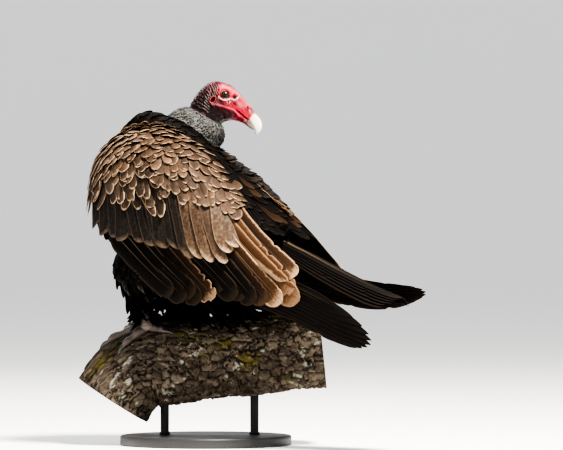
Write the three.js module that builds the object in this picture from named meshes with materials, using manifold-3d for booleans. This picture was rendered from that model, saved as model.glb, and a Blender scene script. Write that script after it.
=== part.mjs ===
// Turkey vulture resting on a cut limb, life size, on a plain display stand.
//
// Millimetres, +Z up. The origin is the centre of the stand's underside. The bird faces -Y, with its
// left side towards +X and its head turned back over its right shoulder. The bird and the limb are laid
// out in a group whose zero is the top of the limb, midway between the feet.

import * as THREE from 'three';
import { mergeVertices } from 'three/addons/utils/BufferGeometryUtils.js';
import Module from 'manifold-3d';

const wasm = await Module();
wasm.setup();

// ---------------------------------------------------------------- driving dimensions

const GAP = 0.3;                     // clearance between two pieces that touch
const PERCH_TOP = 172;               // top of the limb above the floor
const BIRD_OFFSET_X = 25;            // from the stand's centre to the point between the feet
const BIRD_OFFSET_Y = -44;

const LIMB_HEADING = 127;            // degrees from +X, the way the limb runs up
const LIMB_RADIUS = 58;
const LIMB_OFFSET = -12;             // the limb's axis, to the side of the point between the feet
const LIMB_AXIS = [                  // along the limb, height of its axis
  [-82, -112], [-66, -88], [-45, -69], [-20, -60], [0, -58], [55, -51], [110, -45], [215, -34],
];

const BASE_RADIUS = 120;
const BASE_THICKNESS = 14;
const BASE_EDGE = 3;
const ROD_RADIUS = 6;
const ROD_DEPTH_IN_LIMB = 22;
const ROD_RUNS = { stand_rod_front: -12, stand_rod_rear: 112 };

const HEAD_PLACE = [-80, 36, 318];   // midway between the eyes
const HEAD_HEADING = 127;
const HEAD_TILT = 36;                // the bill points down by this angle
const EYE_RADIUS = 6.4;
const EYE_OUT = 13;                  // eye centre from the head's middle plane
const NOSTRIL = { forward: 42, up: 2.1, length: 6.4, height: 2.8, slope: 25 };

const FOOT_SIDE = 34;                // each foot from the middle plane
const FOOT_Y = -14;
const FOOT_HEADING = -66;            // degrees from +X, the way the middle toe points
const TOE_RADIUS = 5.2;

const SECONDARY_COUNT = 12;
const PRIMARY_COUNT = 7;
const COVERT_COUNT = 10;
const TAIL_COUNT = 12;

// ---------------------------------------------------------------- tables of stations

// The trunk across Y: lowest point, highest point, half-width.
const TRUNK = [
  [-102, 158, 172, 8], [-98, 128, 205, 34], [-84, 104, 244, 56], [-62, 86, 277, 71], [-35, 76, 291, 79],
  [-5, 62, 289, 81], [25, 42, 276, 80], [60, 32, 250, 76], [100, 36, 217, 68], [140, 54, 181, 56],
  [175, 80, 152, 42], [200, 102, 131, 29],
];

// The folded wing's shell across Y: ridge height, ridge from the middle, half-width, fall of the curve.
const SHELL = [
  [-88, 246, 52, 78, 78], [-74, 255, 46, 90, 84], [-50, 268, 38, 100, 90], [-20, 277, 34, 105, 92],
  [20, 277, 32, 105, 92], [60, 261, 31, 102, 90], [100, 231, 29, 96, 80], [150, 179, 30, 87, 62],
  [200, 138, 34, 78, 50], [255, 92, 38, 68, 42], [300, 66, 42, 62, 34], [410, 6, 44, 56, 30],
];
const RIGHT_LEAN = { lower: 24, spread: 13, from: 70, to: 150, droop: 15 };

// Edges of the covert sheet on the shell. Front edge: part of the way down, Y. Lower edge: Y, height.
const COVERT_FRONT = [[0, -48], [0.2, -75], [0.4, -86], [0.6, -83], [0.8, -68], [1, -47]];
const COVERT_BACK = [[0, 148], [0.4, 166], [0.75, 178], [1, 180]];
const COVERT_LOWER = [[-60, 122], [-17, 110], [68, 106], [131, 106], [180, 112]];

// Secondaries, from the lowest, outermost feather to the innermost: root Y and height, tip Y and height.
const SECONDARIES = [
  [0, -22, 128, 76, 46], [0.18, 12, 139, 114, 33], [0.4, 50, 156, 158, 42], [0.62, 90, 168, 208, 30],
  [0.8, 116, 174, 250, 26], [0.92, 130, 178, 270, 44], [1, 140, 180, 264, 78],
];

// Primaries, from the lowest feather to the uppermost: tip Y, tip height above the bundle's middle line.
const PRIMARY_TIPS = [
  [0, 358, -22], [0.2, 376, -13], [0.4, 388, -2], [0.6, 384, 9], [0.8, 360, 17], [1, 322, 20],
];
const PRIMARY_ROOT = { y: -34, half: 13 };

// The bundle of primaries along Y: height of its middle, distance from the bird's middle plane.
const LEFT_BUNDLE = [
  [-34, 146, 84], [60, 108, 84], [150, 74, 73], [250, 41, 58], [330, 8, 54], [400, -26, 56],
];
const RIGHT_BUNDLE = [
  [-34, 142, 84], [60, 104, 82], [150, 78, 70], [250, 54, 53], [330, 45, 47], [410, 46, 45],
];
const RIGHT_REACH = 1.06;            // the right bundle reaches further back, with its tips closer together
const RIGHT_FAN = 0.6;

// The tail along Y: height of its middle, half-width.
const TAIL = [[200.3, 116, 27], [243, 98, 29], [300, 74, 34], [350, 55, 36], [410, 36, 37]];
const TAIL_ROOF = 8;                 // the outer feathers lie lower by this much
const TAIL_TIP_Y = 404;

// Head and bare neck in the head's own frame, where the first number is forward and the second is up:
// upper point, lower point, half-width. The first three stations are the bare neck.
const HEAD_STATIONS = [
  [-31.3, -39.4, 20.3, -34.9, 21], [-32.4, -24.2, 21, -33.4, 20.5], [-31.9, -14, 21.6, -32, 20.5],
  [-29.5, -4.7, 22.5, -30.2, 20.5], [-25.8, 3.1, 24, -28.6, 20.5], [-19.5, 9, 25.3, -26.8, 20.2],
  [-5, 14.2, 27, -24.8, 18.6], [6.7, 14.9, 29.4, -23, 15.4], [16, 13.6, 32.5, -21.2, 12.4],
  [24.5, 11.2, 36.5, -19.4, 10], [37.9, 8.3, 41, -18.2, 8.4], [49.5, 3.4, 45.4, -18, 7.8],
];
const NECK_END_STATION = 2.6;

const BILL_UPPER = [
  [49.5, 3.4, 47.1, -9.2, 7.7], [55.5, 2.6, 51.6, -11.2, 7.2], [60.6, 0.9, 56, -13, 6.5],
  [65, -2, 60, -14.6, 5.6], [68, -5.7, 62.8, -15.8, 4.6], [69.9, -10.9, 64.4, -17, 3.4],
  [69.2, -15.7, 65.2, -18.8, 2.1], [66.9, -21, 66.5, -21.2, 0.4],
];
const BILL_LOWER = [
  [46.9, -9.9, 45.4, -17.9, 7.4], [51.8, -11.7, 50.6, -17.8, 6.6], [56.4, -13.6, 55.6, -17.9, 5.2],
  [61, -15.6, 60.6, -17.2, 2],
];

// The feathered neck from the shoulders up to the ruff's rim: centre, half-width.
const RUFF = [
  [0, -40, 186, 30], [-12, -40, 214, 46], [-30, -26, 240, 50], [-47, -7, 257, 49],
  [-56.8, 5.5, 271.2, 48.5], [-61, 10.9, 282.2, 40.5], [-63.9, 14.6, 290.3, 27.4],
];

// Feathered thigh in the order centre X, Y, Z, half-width across, half-width fore and aft.
const THIGH = [
  [46, 14, 128, 20, 26], [47, 0, 108, 36, 52], [46, -8, 84, 36, 54], [42, -18, 58, 29, 40],
  [37, -24, 34, 19, 21], [34, -20, 10, 12, 12],
];

// ---------------------------------------------------------------- numbers along a table

// Smooth reading of a table whose rows start with their key, by cubic pieces with shared slopes.
function along(table, key) {
  const last = table.length - 1;
  const clamped = Math.min(Math.max(key, table[0][0]), table[last][0]);
  let i = 0;
  while (i < last - 1 && clamped > table[i + 1][0]) i += 1;
  const slope = (row, column) => {
    const before = table[Math.max(row - 1, 0)];
    const after = table[Math.min(row + 1, last)];
    return (after[column] - before[column]) / (after[0] - before[0]);
  };
  const span = table[i + 1][0] - table[i][0];
  const t = (clamped - table[i][0]) / span;
  const t2 = t * t;
  const t3 = t2 * t;
  return table[i].slice(1).map((value, index) => {
    const column = index + 1;
    return (2 * t3 - 3 * t2 + 1) * value
      + (t3 - 2 * t2 + t) * span * slope(i, column)
      + (3 * t2 - 2 * t3) * table[i + 1][column]
      + (t3 - t2) * span * slope(i + 1, column);
  });
}

const keyed = (rows) => rows.map((row, index) => [index, ...row]);
const mix = (a, b, t) => a + (b - a) * t;
const radians = THREE.MathUtils.degToRad;

// ---------------------------------------------------------------- closed solids

// Shared vertices, no flat triangles, faces turned outwards.
function closed(geometry) {
  const bare = geometry.clone();
  bare.deleteAttribute('normal');
  bare.deleteAttribute('uv');
  const merged = mergeVertices(bare, 1e-3);
  const index = Array.from(merged.index.array);
  const kept = [];
  for (let i = 0; i < index.length; i += 3) {
    const [a, b, c] = index.slice(i, i + 3);
    if (a !== b && b !== c && c !== a) kept.push(a, b, c);
  }
  merged.setIndex(kept);
  if (volume(merged) < 0) {
    for (let i = 0; i < kept.length; i += 3) [kept[i], kept[i + 1]] = [kept[i + 1], kept[i]];
    merged.setIndex(kept);
  }
  merged.computeVertexNormals();
  return merged;
}

function volume(geometry) {
  const p = geometry.attributes.position;
  const index = geometry.index.array;
  const corner = [new THREE.Vector3(), new THREE.Vector3(), new THREE.Vector3()];
  let total = 0;
  for (let i = 0; i < index.length; i += 3) {
    corner.forEach((v, k) => v.fromBufferAttribute(p, index[i + k]));
    total += corner[0].dot(corner[1].cross(corner[2])) / 6;
  }
  return total;
}

// Each vertex of a ready geometry goes where place(x, y, z) puts it.
function moved(geometry, place) {
  const p = geometry.attributes.position;
  for (let i = 0; i < p.count; i += 1) {
    const [x, y, z] = place(p.getX(i), p.getY(i), p.getZ(i));
    p.setXYZ(i, x, y, z);
  }
  return closed(geometry);
}

// A sheet with two broad faces: place(u, v, w) with u across, v along and w through the thickness, 0 to 1.
function sheet(columns, rows, place) {
  const box = new THREE.BoxGeometry(1, 1, 1, columns, rows, 1);
  return moved(box, (x, y, z) => place(x + 0.5, y + 0.5, z + 0.5));
}

// A rod with flat ends: place(v, angle, reach), where reach is 1 on the side and 0 at an end's centre.
function rod(sides, rows, place) {
  const cylinder = new THREE.CylinderGeometry(1, 1, 1, sides, rows);
  return moved(cylinder, (x, y, z) => place(y + 0.5, Math.atan2(x, z), Math.hypot(x, z)));
}

// A rounded body: place(v, angle), which gives one single point at v = 0 and at v = 1.
function pod(sides, rows, place) {
  const sphere = new THREE.SphereGeometry(1, sides, rows);
  return moved(sphere, (x, y, z) => {
    const polar = Math.acos(Math.min(Math.max(y, -1), 1));
    return place(polar / Math.PI, Math.atan2(x, z));
  });
}

// A copy whose every face stands off by at least a clearance: the shift of a vertex is pushed in turn
// against each face that meets there until all of them have moved far enough.
function grown(geometry, by) {
  const copy = geometry.clone();
  const p = copy.attributes.position;
  const index = copy.index.array;
  const faces = Array.from({ length: p.count }, () => []);
  const corner = [new THREE.Vector3(), new THREE.Vector3(), new THREE.Vector3()];
  for (let i = 0; i < index.length; i += 3) {
    corner.forEach((v, k) => v.fromBufferAttribute(p, index[i + k]));
    const normal = corner[1].clone().sub(corner[0]).cross(corner[2].clone().sub(corner[0])).normalize();
    for (let k = 0; k < 3; k += 1) faces[index[i + k]].push(normal);
  }
  const passes = 12;
  const longest = 3 * by;
  faces.forEach((normals, i) => {
    const shift = new THREE.Vector3();
    for (let pass = 0; pass < passes; pass += 1) {
      for (const normal of normals) shift.addScaledVector(normal, Math.max(by - shift.dot(normal), 0));
    }
    shift.clampLength(0, longest);
    p.setXYZ(i, p.getX(i) + shift.x, p.getY(i) + shift.y, p.getZ(i) + shift.z);
  });
  return copy;
}

function toSolid(geometry) {
  const vertProperties = new Float32Array(geometry.attributes.position.array);
  const triVerts = new Uint32Array(geometry.index.array);
  return new wasm.Manifold(new wasm.Mesh({ numProp: 3, vertProperties, triVerts }));
}

function toGeometry(solid) {
  const mesh = solid.getMesh();
  const geometry = new THREE.BufferGeometry();
  geometry.setAttribute('position', new THREE.BufferAttribute(new Float32Array(mesh.vertProperties), 3));
  geometry.setIndex(Array.from(mesh.triVerts));
  return closed(geometry);
}

// The largest piece of a body after its neighbours, each with its clearance, are cut away.
function carved(geometry, neighbours, gap = GAP) {
  let solid = toSolid(geometry);
  for (const neighbour of neighbours) solid = solid.subtract(toSolid(grown(neighbour, gap)));
  const pieces = solid.decompose().sort((a, b) => b.volume() - a.volume());
  return toGeometry(pieces[0]);
}

function joined(geometries) {
  return toGeometry(geometries.map(toSolid).reduce((all, next) => all.add(next)));
}

// ---------------------------------------------------------------- the folded wing's shell

const fadeOut = (value, from, to) => 1 - THREE.MathUtils.smoothstep(value, from, to);

// Shell numbers at a Y, for the left side (+1) or the right side (-1), which lies lower and wider open.
function shellAt(side, y) {
  const [ridge, gap, half, fall] = along(SHELL, y);
  const lean = side < 0 ? fadeOut(y, RIGHT_LEAN.from, RIGHT_LEAN.to) : 0;
  const lower = RIGHT_LEAN.lower * lean;
  return { ridge: ridge - lower, gap: gap + RIGHT_LEAN.spread * lean, half, fall: fall - 0.6 * lower };
}

// A point of the shell at a Y and a height, a given depth under its outer face. Above the foot of the
// curve it is a quarter ellipse from the ridge out to the half-width, and below that it hangs straight.
function shellPoint(side, y, z, depth) {
  const { ridge, gap, half, fall } = shellAt(side, y);
  const foot = ridge - fall;
  if (z <= foot) return [side * (half - depth), y, z];
  const angle = Math.acos(Math.min(Math.max((ridge - z) / fall, 0), 1) * -1 + 1);
  const across = gap + (half - depth - gap) * Math.sin(angle);
  return [side * across, y, foot + (fall - depth) * Math.cos(angle)];
}

// Length down the curve from the ridge to a height, and the length of its whole quarter ellipse.
function shellLength(side, y, z) {
  const { ridge, half, gap, fall } = shellAt(side, y);
  const foot = ridge - fall;
  const quarter = 0.25 * Math.PI * (half - gap + fall);
  const bend = Math.acos(1 - Math.min(Math.max((ridge - z) / fall, 0), 1)) / (Math.PI / 2);
  return { length: quarter * bend + Math.max(foot - z, 0), quarter };
}

function shellPart(side, y, z, lowest) {
  return shellLength(side, y, z).length / shellLength(side, y, lowest).length;
}

// The same point, by the part of the way from the ridge down to a lower height, evenly along the curve.
function shellPointDown(side, y, lowest, part, depth) {
  const { ridge, half, gap, fall } = shellAt(side, y);
  const foot = ridge - fall;
  const { length, quarter } = shellLength(side, y, lowest);
  const travelled = part * length;
  if (travelled > quarter) return shellPoint(side, y, foot - (travelled - quarter), depth);
  const angle = (travelled / quarter) * (Math.PI / 2);
  return [
    side * (gap + (half - depth - gap) * Math.sin(angle)), y, foot + (fall - depth) * Math.cos(angle),
  ];
}

// ---------------------------------------------------------------- feathers side by side

const LAP = 0.8;                     // each feather's leading edge stands over its neighbour by this much

// Which feather a column belongs to, how far across it, its lap, and how far its rounded tip is cut back.
function featherColumn(count, perFeather, u) {
  const column = Math.round(u * (count * perFeather - 1));
  const feather = Math.floor(column / perFeather);
  const inset = 0.06;
  const across = mix(inset, 1 - inset, (column % perFeather) / (perFeather - 1));
  return { key: (feather + across) / count, lap: LAP * (0.5 - across), cut: 4 * (across - 0.5) ** 2 };
}

function feathered(count, perFeather, rows, place) {
  return sheet(count * perFeather - 1, rows, (u, v, w) => place(featherColumn(count, perFeather, u), v, w));
}

// Scapulars and coverts over the arm: the thick outer layer, with the greater coverts' tips along its edge.
const COVERT_THICK = { ridge: 6, arm: 7, edge: 2.6 };

// Thickness by the part of the way back and down: thick over the arm, thin at the back and lower edges.
function covertThick(back, down) {
  const { ridge, arm, edge } = COVERT_THICK;
  const armBottom = 0.85;
  const thinsFrom = 0.55;
  const overArm = Math.sin(Math.PI * Math.min(down / armBottom, 1));
  const full = mix(ridge, edge, down) + arm * overArm;
  return mix(full, edge, THREE.MathUtils.smoothstep(back, thinsFrom, 1));
}

function wingCoverts(side) {
  const tipCut = 6;
  return feathered(COVERT_COUNT, 3, 4, ({ key, lap, cut }, v, w) => {
    const y = mix(along(COVERT_FRONT, v)[0], along(COVERT_BACK, v)[0], key);
    const lowest = along(COVERT_LOWER, y)[0] + tipCut * cut;
    const depth = lap * v * v + w * covertThick(key, v);
    return shellPointDown(side, y, lowest, v, depth);
  });
}

// Depth of the coverts' inner face at a place of the shell, or of their thin edge beyond them.
function covertInside(side, y, z) {
  const part = Math.min(shellPart(side, y, z, along(COVERT_LOWER, y)[0]), 1);
  const front = along(COVERT_FRONT, part)[0];
  const back = along(COVERT_BACK, part)[0];
  return covertThick(Math.min(Math.max((y - front) / (back - front), 0), 1), part);
}

// Secondaries, which come out from under the coverts and hang back and down.
const SECONDARY_LAYER = { clearance: 2.6, thick: 1.6 };

function wingSecondaries(side) {
  const tipCut = 0.06;
  return feathered(SECONDARY_COUNT, 3, 3, ({ key, lap, cut }, v, w) => {
    const [rootY, rootZ, tipY, levelZ] = along(SECONDARIES, key);
    const tipZ = side < 0 ? levelZ - RIGHT_LEAN.droop * fadeOut(tipY, 140, 240) : levelZ;
    const reach = v * (1 - tipCut * cut * v);
    const y = mix(rootY, tipY, reach);
    const z = mix(rootZ, tipZ, reach);
    const under = covertInside(side, y, z) + SECONDARY_LAYER.clearance;
    return shellPoint(side, y, z, under + lap + w * SECONDARY_LAYER.thick);
  });
}

// The folded primaries: one bundle from the wrist back under the secondaries, with the tips stepped.
function wingPrimaries(side, bundle) {
  const tipCut = 0.022;
  const thick = 1.5;
  const stretch = side < 0 ? RIGHT_REACH : 1;
  return feathered(PRIMARY_COUNT, 3, 4, ({ key, lap, cut }, v, w) => {
    const [tipY, tipRise] = along(PRIMARY_TIPS, key);
    const y = mix(PRIMARY_ROOT.y, tipY * stretch * (1 - tipCut * cut), v);
    const [middle, across] = along(bundle, y);
    const rise = mix((2 * key - 1) * PRIMARY_ROOT.half, tipRise * (side < 0 ? RIGHT_FAN : 1), v ** 0.8);
    const stack = mix(0, 5, key) * Math.sin(Math.PI * v * 0.5);
    return [side * (across - lap - stack - w * thick), y, middle + rise];
  });
}

// ---------------------------------------------------------------- trunk, tail and legs

// A section of the trunk at a Y, by the angle from its top. The trunk keeps inside both wings.
function trunkPoint(y, angle, reach, wingClearance) {
  const [low, high, half] = along(TRUNK, y);
  const x = half * reach * Math.sin(angle);
  const z = (high + low) / 2 + ((high - low) / 2) * reach * Math.cos(angle);
  const side = x < 0 ? -1 : 1;
  const { ridge, gap, half: shellHalf, fall } = shellAt(side, y);
  const foot = ridge - fall;
  const roomOut = shellHalf - wingClearance - gap;
  const roomUp = fall - wingClearance;
  if (z < foot) return [side * Math.min(Math.abs(x), gap + roomOut), y, z];
  const out = Math.max(Math.abs(x) - gap, 0);
  const ratio = Math.hypot(out / roomOut, (z - foot) / roomUp);
  if (out === 0 || ratio <= 1) return [x, y, z];
  return [side * (gap + out / ratio), y, foot + (z - foot) / ratio];
}

function trunkBody() {
  const first = TRUNK[0][0];
  const last = TRUNK[TRUNK.length - 1][0];
  const clearance = 14;
  return rod(18, 12, (v, angle, reach) => trunkPoint(mix(first, last, v), angle, reach, clearance));
}

function tailFan() {
  const tipCut = 4;
  const rootThick = 26;
  const tipThick = 1.6;
  return feathered(TAIL_COUNT, 2, 4, ({ key, cut }, v, w) => {
    const across = 2 * key - 1;
    const tip = TAIL_TIP_Y - 14 * across * across - tipCut * cut;
    const y = mix(TAIL[0][0], tip, v);
    const [middle, half] = along(TAIL, y);
    const thick = mix(rootThick, tipThick, Math.min(v * 1.6, 1));
    const roof = TAIL_ROOF * across * across * v;
    const lap = LAP * Math.abs(2 * ((key * TAIL_COUNT) % 1) - 1) * v;
    return [half * across, y, middle - roof - lap * 0.5 + (0.5 - w) * thick];
  });
}

function thigh(side) {
  return pod(11, 8, (v, angle) => {
    const [x, y, z, wide, deep] = along(keyed(THIGH), v * (THIGH.length - 1));
    const end = Math.sqrt(Math.max(1 - (2 * v - 1) ** 6, 0));
    return [side * (x + wide * end * Math.sin(angle)), y + deep * end * Math.cos(angle), z];
  });
}

// Slope of the limb's axis as an angle.
function limbLean(run) {
  const step = 1;
  const ends = [run - step, run + step].map((place) => along(LIMB_AXIS, place)[0]);
  return Math.atan((ends[1] - ends[0]) / (2 * step));
}

// A point at a radius from the limb's sloping axis: the way along it, and the angle from its top.
function limbPoint(run, angle, radius) {
  const heading = radians(LIMB_HEADING);
  const lean = limbLean(run);
  const out = LIMB_OFFSET + radius * Math.sin(angle);
  const place = run - radius * Math.cos(angle) * Math.sin(lean);
  return [
    Math.cos(heading) * place + Math.sin(heading) * out,
    Math.sin(heading) * place - Math.cos(heading) * out,
    along(LIMB_AXIS, run)[0] + radius * Math.cos(angle) * Math.cos(lean),
  ];
}

// The way along and the angle round the limb of the point of its face over a place of the floor plan.
function limbUnder(x, y) {
  const heading = radians(LIMB_HEADING);
  const angle = Math.asin((x * Math.sin(heading) - y * Math.cos(heading) - LIMB_OFFSET) / LIMB_RADIUS);
  const place = x * Math.cos(heading) + y * Math.sin(heading);
  let run = place;
  const passes = 5;
  for (let pass = 0; pass < passes; pass += 1) {
    run = place + LIMB_RADIUS * Math.cos(angle) * Math.sin(limbLean(run));
  }
  return { run, angle };
}

// A tapering tube through points, each followed by its radius, with rounded ends.
function taperedTube(points, sides, rows) {
  const curve = new THREE.CatmullRomCurve3(points.map(([x, y, z]) => new THREE.Vector3(x, y, z)));
  const radii = keyed(points.map((point) => [point[3]]));
  const up = new THREE.Vector3(0.05, 0.1, 1);
  return pod(sides, rows, (v, angle) => {
    const t = 0.5 - 0.5 * Math.cos(Math.PI * v);
    const along01 = mix(t, v, 0.75);
    const centre = curve.getPoint(along01);
    const forward = curve.getTangent(along01);
    const across = new THREE.Vector3().crossVectors(forward, up).normalize();
    const above = new THREE.Vector3().crossVectors(across, forward);
    const [radius] = along(radii, along01 * (points.length - 1));
    const end = Math.sqrt(Math.max(1 - (2 * v - 1) ** 8, 0));
    const p = centre.addScaledVector(across, radius * end * Math.cos(angle))
      .addScaledVector(above, radius * end * Math.sin(angle));
    return [p.x, p.y, p.z];
  });
}

// A toe lies on the limb: heading from the middle toe, length, thickness.
const TOES = [
  { name: 1, turn: 172, length: 24, thick: 0.85, claw: 15 },
  { name: 2, turn: -38, length: 38, thick: 0.95, claw: 15 },
  { name: 3, turn: 0, length: 58, thick: 1, claw: 17 },
  { name: 4, turn: 36, length: 42, thick: 0.9, claw: 13 },
];
const TOE_START = 4;

// A point of a toe: a distance from the foot, walked in steps over the limb's face, and the height over it.
function toePoint(side, toe, distance, lift) {
  let { run, angle } = limbUnder(side * FOOT_SIDE, FOOT_Y);
  const turn = radians(FOOT_HEADING + side * toe.turn - LIMB_HEADING);
  const steps = 12;
  for (let step = 0; step < steps; step += 1) {
    const here = new THREE.Vector3(...limbPoint(run, angle, LIMB_RADIUS));
    const stretch = here.distanceTo(new THREE.Vector3(...limbPoint(run + 1, angle, LIMB_RADIUS)));
    run += ((distance / steps) * Math.cos(turn)) / stretch;
    angle -= ((distance / steps) * Math.sin(turn)) / LIMB_RADIUS;
  }
  return limbPoint(run, angle, LIMB_RADIUS + lift);
}

function toeTube(side, toe) {
  const radius = TOE_RADIUS * toe.thick;
  const knots = [[-0.08, 1.05], [0.3, 1.12], [0.55, 0.82], [0.78, 0.98], [1, 0.62]];
  return taperedTube(knots.map(([part, swell]) => {
    const distance = TOE_START + part * (toe.length - TOE_START);
    return [...toePoint(side, toe, distance, radius * swell + GAP), radius * swell];
  }), 6, 7);
}

// A claw hooks down from the toe's end towards the limb.
function clawCone(side, toe) {
  const radius = TOE_RADIUS * toe.thick * 0.5;
  const knots = [[0, 1, 3.4], [0.35, 0.9, 4.4], [0.7, 0.6, 3.4], [1, 0.12, 0.8]];
  return taperedTube(knots.map(([part, swell, lift]) => {
    const distance = toe.length + 0.4 + part * toe.claw;
    return [...toePoint(side, toe, distance, lift + GAP), radius * swell];
  }), 5, 5);
}

function ankle(side) {
  const knots = [[-5, 6.6, 6.2], [-1, 8.2, 7.6], [5, 6.6, 6.2]];
  const middle = TOES[2];
  return taperedTube(knots.map(([distance, lift, radius]) => (
    [...toePoint(side, middle, distance, lift + GAP), radius]
  )), 8, 6);
}

function foot(side) {
  return joined([ankle(side), ...TOES.map((toe) => toeTube(side, toe))]);
}

// The bare lower leg, from the heel joint under the feathers down to the foot.
function shank(side) {
  const [x, y, z] = toePoint(side, TOES[2], 0, 11);
  return taperedTube([
    [side * 38, y - 6, z + 50, 7.2], [side * 37, y - 7, z + 34, 5.6],
    [side * 35, y - 4, z + 16, 5.2], [x, y, z, 6.2],
  ], 7, 7);
}

// ---------------------------------------------------------------- head, bill and neck

// A ring between an upper and a lower point of the middle plane, squared off where asked.
function ringPoint(stations, key, angle, reach, squareTop = 1, squareBottom = 1) {
  const [topX, topZ, bottomX, bottomZ, half] = along(keyed(stations), key);
  const c = Math.cos(angle);
  const s = Math.sin(angle);
  const square = c > 0 ? squareTop : squareBottom;
  const height = (Math.sign(c) * Math.abs(c) ** (1 / square) * reach + 1) / 2;
  const across = Math.sign(s) * Math.abs(s) ** (1 / square) * reach * half;
  return [mix(bottomX, topX, height), across, mix(bottomZ, topZ, height)];
}

function headSolid() {
  const last = HEAD_STATIONS.length - 1;
  const skull = rod(16, 14, (v, angle, reach) => (
    ringPoint(HEAD_STATIONS, mix(NECK_END_STATION, last, v), angle, reach, 1.05, 1)));
  return carved(skull, [eyeBall(1), eyeBall(-1), nostrilHole()]);
}

function neckBare() {
  const gapInStations = 0.06;
  return rod(16, 4, (v, angle, reach) => (
    ringPoint(HEAD_STATIONS, v * (NECK_END_STATION - gapInStations), angle, reach)));
}

function nostrilHole() {
  const width = 40;
  const { length, height } = NOSTRIL;
  const hole = rod(12, 1, (v, angle, reach) => [
    0.5 * length * Math.sin(angle) * reach, (v - 0.5) * width, 0.5 * height * Math.cos(angle) * reach,
  ]);
  hole.rotateY(radians(NOSTRIL.slope));
  hole.translate(NOSTRIL.forward, 0, NOSTRIL.up);
  return hole;
}

function eyeBall(side) {
  const ball = new THREE.SphereGeometry(EYE_RADIUS, 12, 6);
  ball.translate(0, side * EYE_OUT, 0);
  return closed(ball);
}

// Both halves of the bill meet the head at its front face and each other along the cutting edge.
function billHalf(stations, sides, rows, squareTop, squareBottom) {
  const last = stations.length - 1;
  const half = rod(sides, rows, (v, angle, reach) => (
    ringPoint(stations, v * last, angle, reach, squareTop, squareBottom)));
  half.translate(GAP, 0, 0);
  return half;
}

const billUpper = () => billHalf(BILL_UPPER, 12, 8, 1, 1.7);
const billLower = () => billHalf(BILL_LOWER, 10, 4, 1.7, 1);

// The feathered neck, a tube that narrows to a flat rim where the bare skin comes out.
function ruffTube() {
  const centres = new THREE.CatmullRomCurve3(RUFF.map(([x, y, z]) => new THREE.Vector3(x, y, z)));
  const halves = keyed(RUFF.map((row) => [row[3]]));
  const narrow = 0.86;
  const side = new THREE.Vector3(Math.sin(radians(HEAD_HEADING)), -Math.cos(radians(HEAD_HEADING)), 0);
  return rod(13, 7, (v, angle, reach) => {
    const centre = centres.getPoint(v);
    const forward = centres.getTangent(v);
    const above = new THREE.Vector3().crossVectors(side, forward).normalize();
    const across = new THREE.Vector3().crossVectors(forward, above);
    const half = along(halves, v * (RUFF.length - 1))[0] * reach;
    const p = centre.addScaledVector(above, half * Math.cos(angle))
      .addScaledVector(across, narrow * half * Math.sin(angle));
    return [p.x, p.y, p.z];
  });
}

// ---------------------------------------------------------------- limb and stand

function barkRelief(angle, v) {
  return 1.6 * Math.sin(7 * angle + 9 * v) + 1.2 * Math.sin(4 * angle - 14 * v + 1);
}

// The cut limb, round in section, each section square to its sloping axis and smooth under the feet.
function limbSolid() {
  const inset = 2;
  const first = LIMB_AXIS[0][0] + inset;
  const last = LIMB_AXIS[LIMB_AXIS.length - 1][0] - inset;
  return rod(18, 10, (v, angle, reach) => {
    const rough = THREE.MathUtils.smoothstep(-Math.cos(angle), 0, 0.4);
    return limbPoint(mix(first, last, v), angle, (LIMB_RADIUS + barkRelief(angle, v) * rough) * reach);
  });
}

function standBase() {
  const top = BASE_THICKNESS;
  const outline = [
    [0, 0], [BASE_RADIUS, 0], [BASE_RADIUS, top - BASE_EDGE], [BASE_RADIUS - BASE_EDGE, top], [0, top],
  ];
  const disc = new THREE.LatheGeometry(outline.map(([x, y]) => new THREE.Vector2(x, y)), 36);
  disc.rotateX(Math.PI / 2);
  return closed(disc);
}

// ---------------------------------------------------------------- materials

function finish(color, roughness, metalness = 0) {
  return new THREE.MeshStandardMaterial({ color, roughness, metalness });
}
const blackPlumage = finish(0x17130f, 0.75);
const brownPlumage = finish(0x5b4433, 0.7);
const redSkin = finish(0xa8303a, 0.5);
const darkSkin = finish(0x6a2a30, 0.6);
const ivoryHorn = finish(0xe6dcc4, 0.4);
const brownIris = finish(0x2b1d14, 0.1);
const legSkin = finish(0xb9a39a, 0.7);
const darkClaw = finish(0x2a2622, 0.45);
const bark = finish(0x5a4a38, 0.95);
const darkPaint = finish(0x2c2c2e, 0.5, 0.2);

// ---------------------------------------------------------------- assembly

function named(name, geometry, material) {
  const mesh = new THREE.Mesh(geometry, material);
  mesh.name = name;
  return mesh;
}

const sides = { left: 1, right: -1 };
const bundles = { left: LEFT_BUNDLE, right: RIGHT_BUNDLE };

const part = new THREE.Group();
const bird = new THREE.Group();
bird.position.set(BIRD_OFFSET_X, BIRD_OFFSET_Y, PERCH_TOP);
part.add(bird);

const coverts = { left: wingCoverts(1), right: wingCoverts(-1) };
const secondaries = { left: wingSecondaries(1), right: wingSecondaries(-1) };
const wings = [...Object.values(coverts), ...Object.values(secondaries)];
const trunk = carved(trunkBody(), wings, 2 * GAP);
for (const [word, side] of Object.entries(sides)) {
  bird.add(named(`wing_${word}_coverts`, coverts[word], brownPlumage));
  bird.add(named(`wing_${word}_secondaries`, secondaries[word], brownPlumage));
  bird.add(named(`wing_${word}_primaries`, wingPrimaries(side, bundles[word]), blackPlumage));
  const leg = shank(side);
  const toes = foot(side);
  bird.add(named(`thigh_${word}`, carved(thigh(side), [trunk, leg, toes]), blackPlumage));
  bird.add(named(`shank_${word}`, carved(leg, [toes]), legSkin));
  bird.add(named(`foot_${word}`, toes, legSkin));
  for (const toe of TOES) {
    bird.add(named(`claw_${word}_${toe.name}`, carved(clawCone(side, toe), [toes]), darkClaw));
  }
}
bird.add(named('trunk', trunk, blackPlumage));
bird.add(named('tail', tailFan(), blackPlumage));

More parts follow.
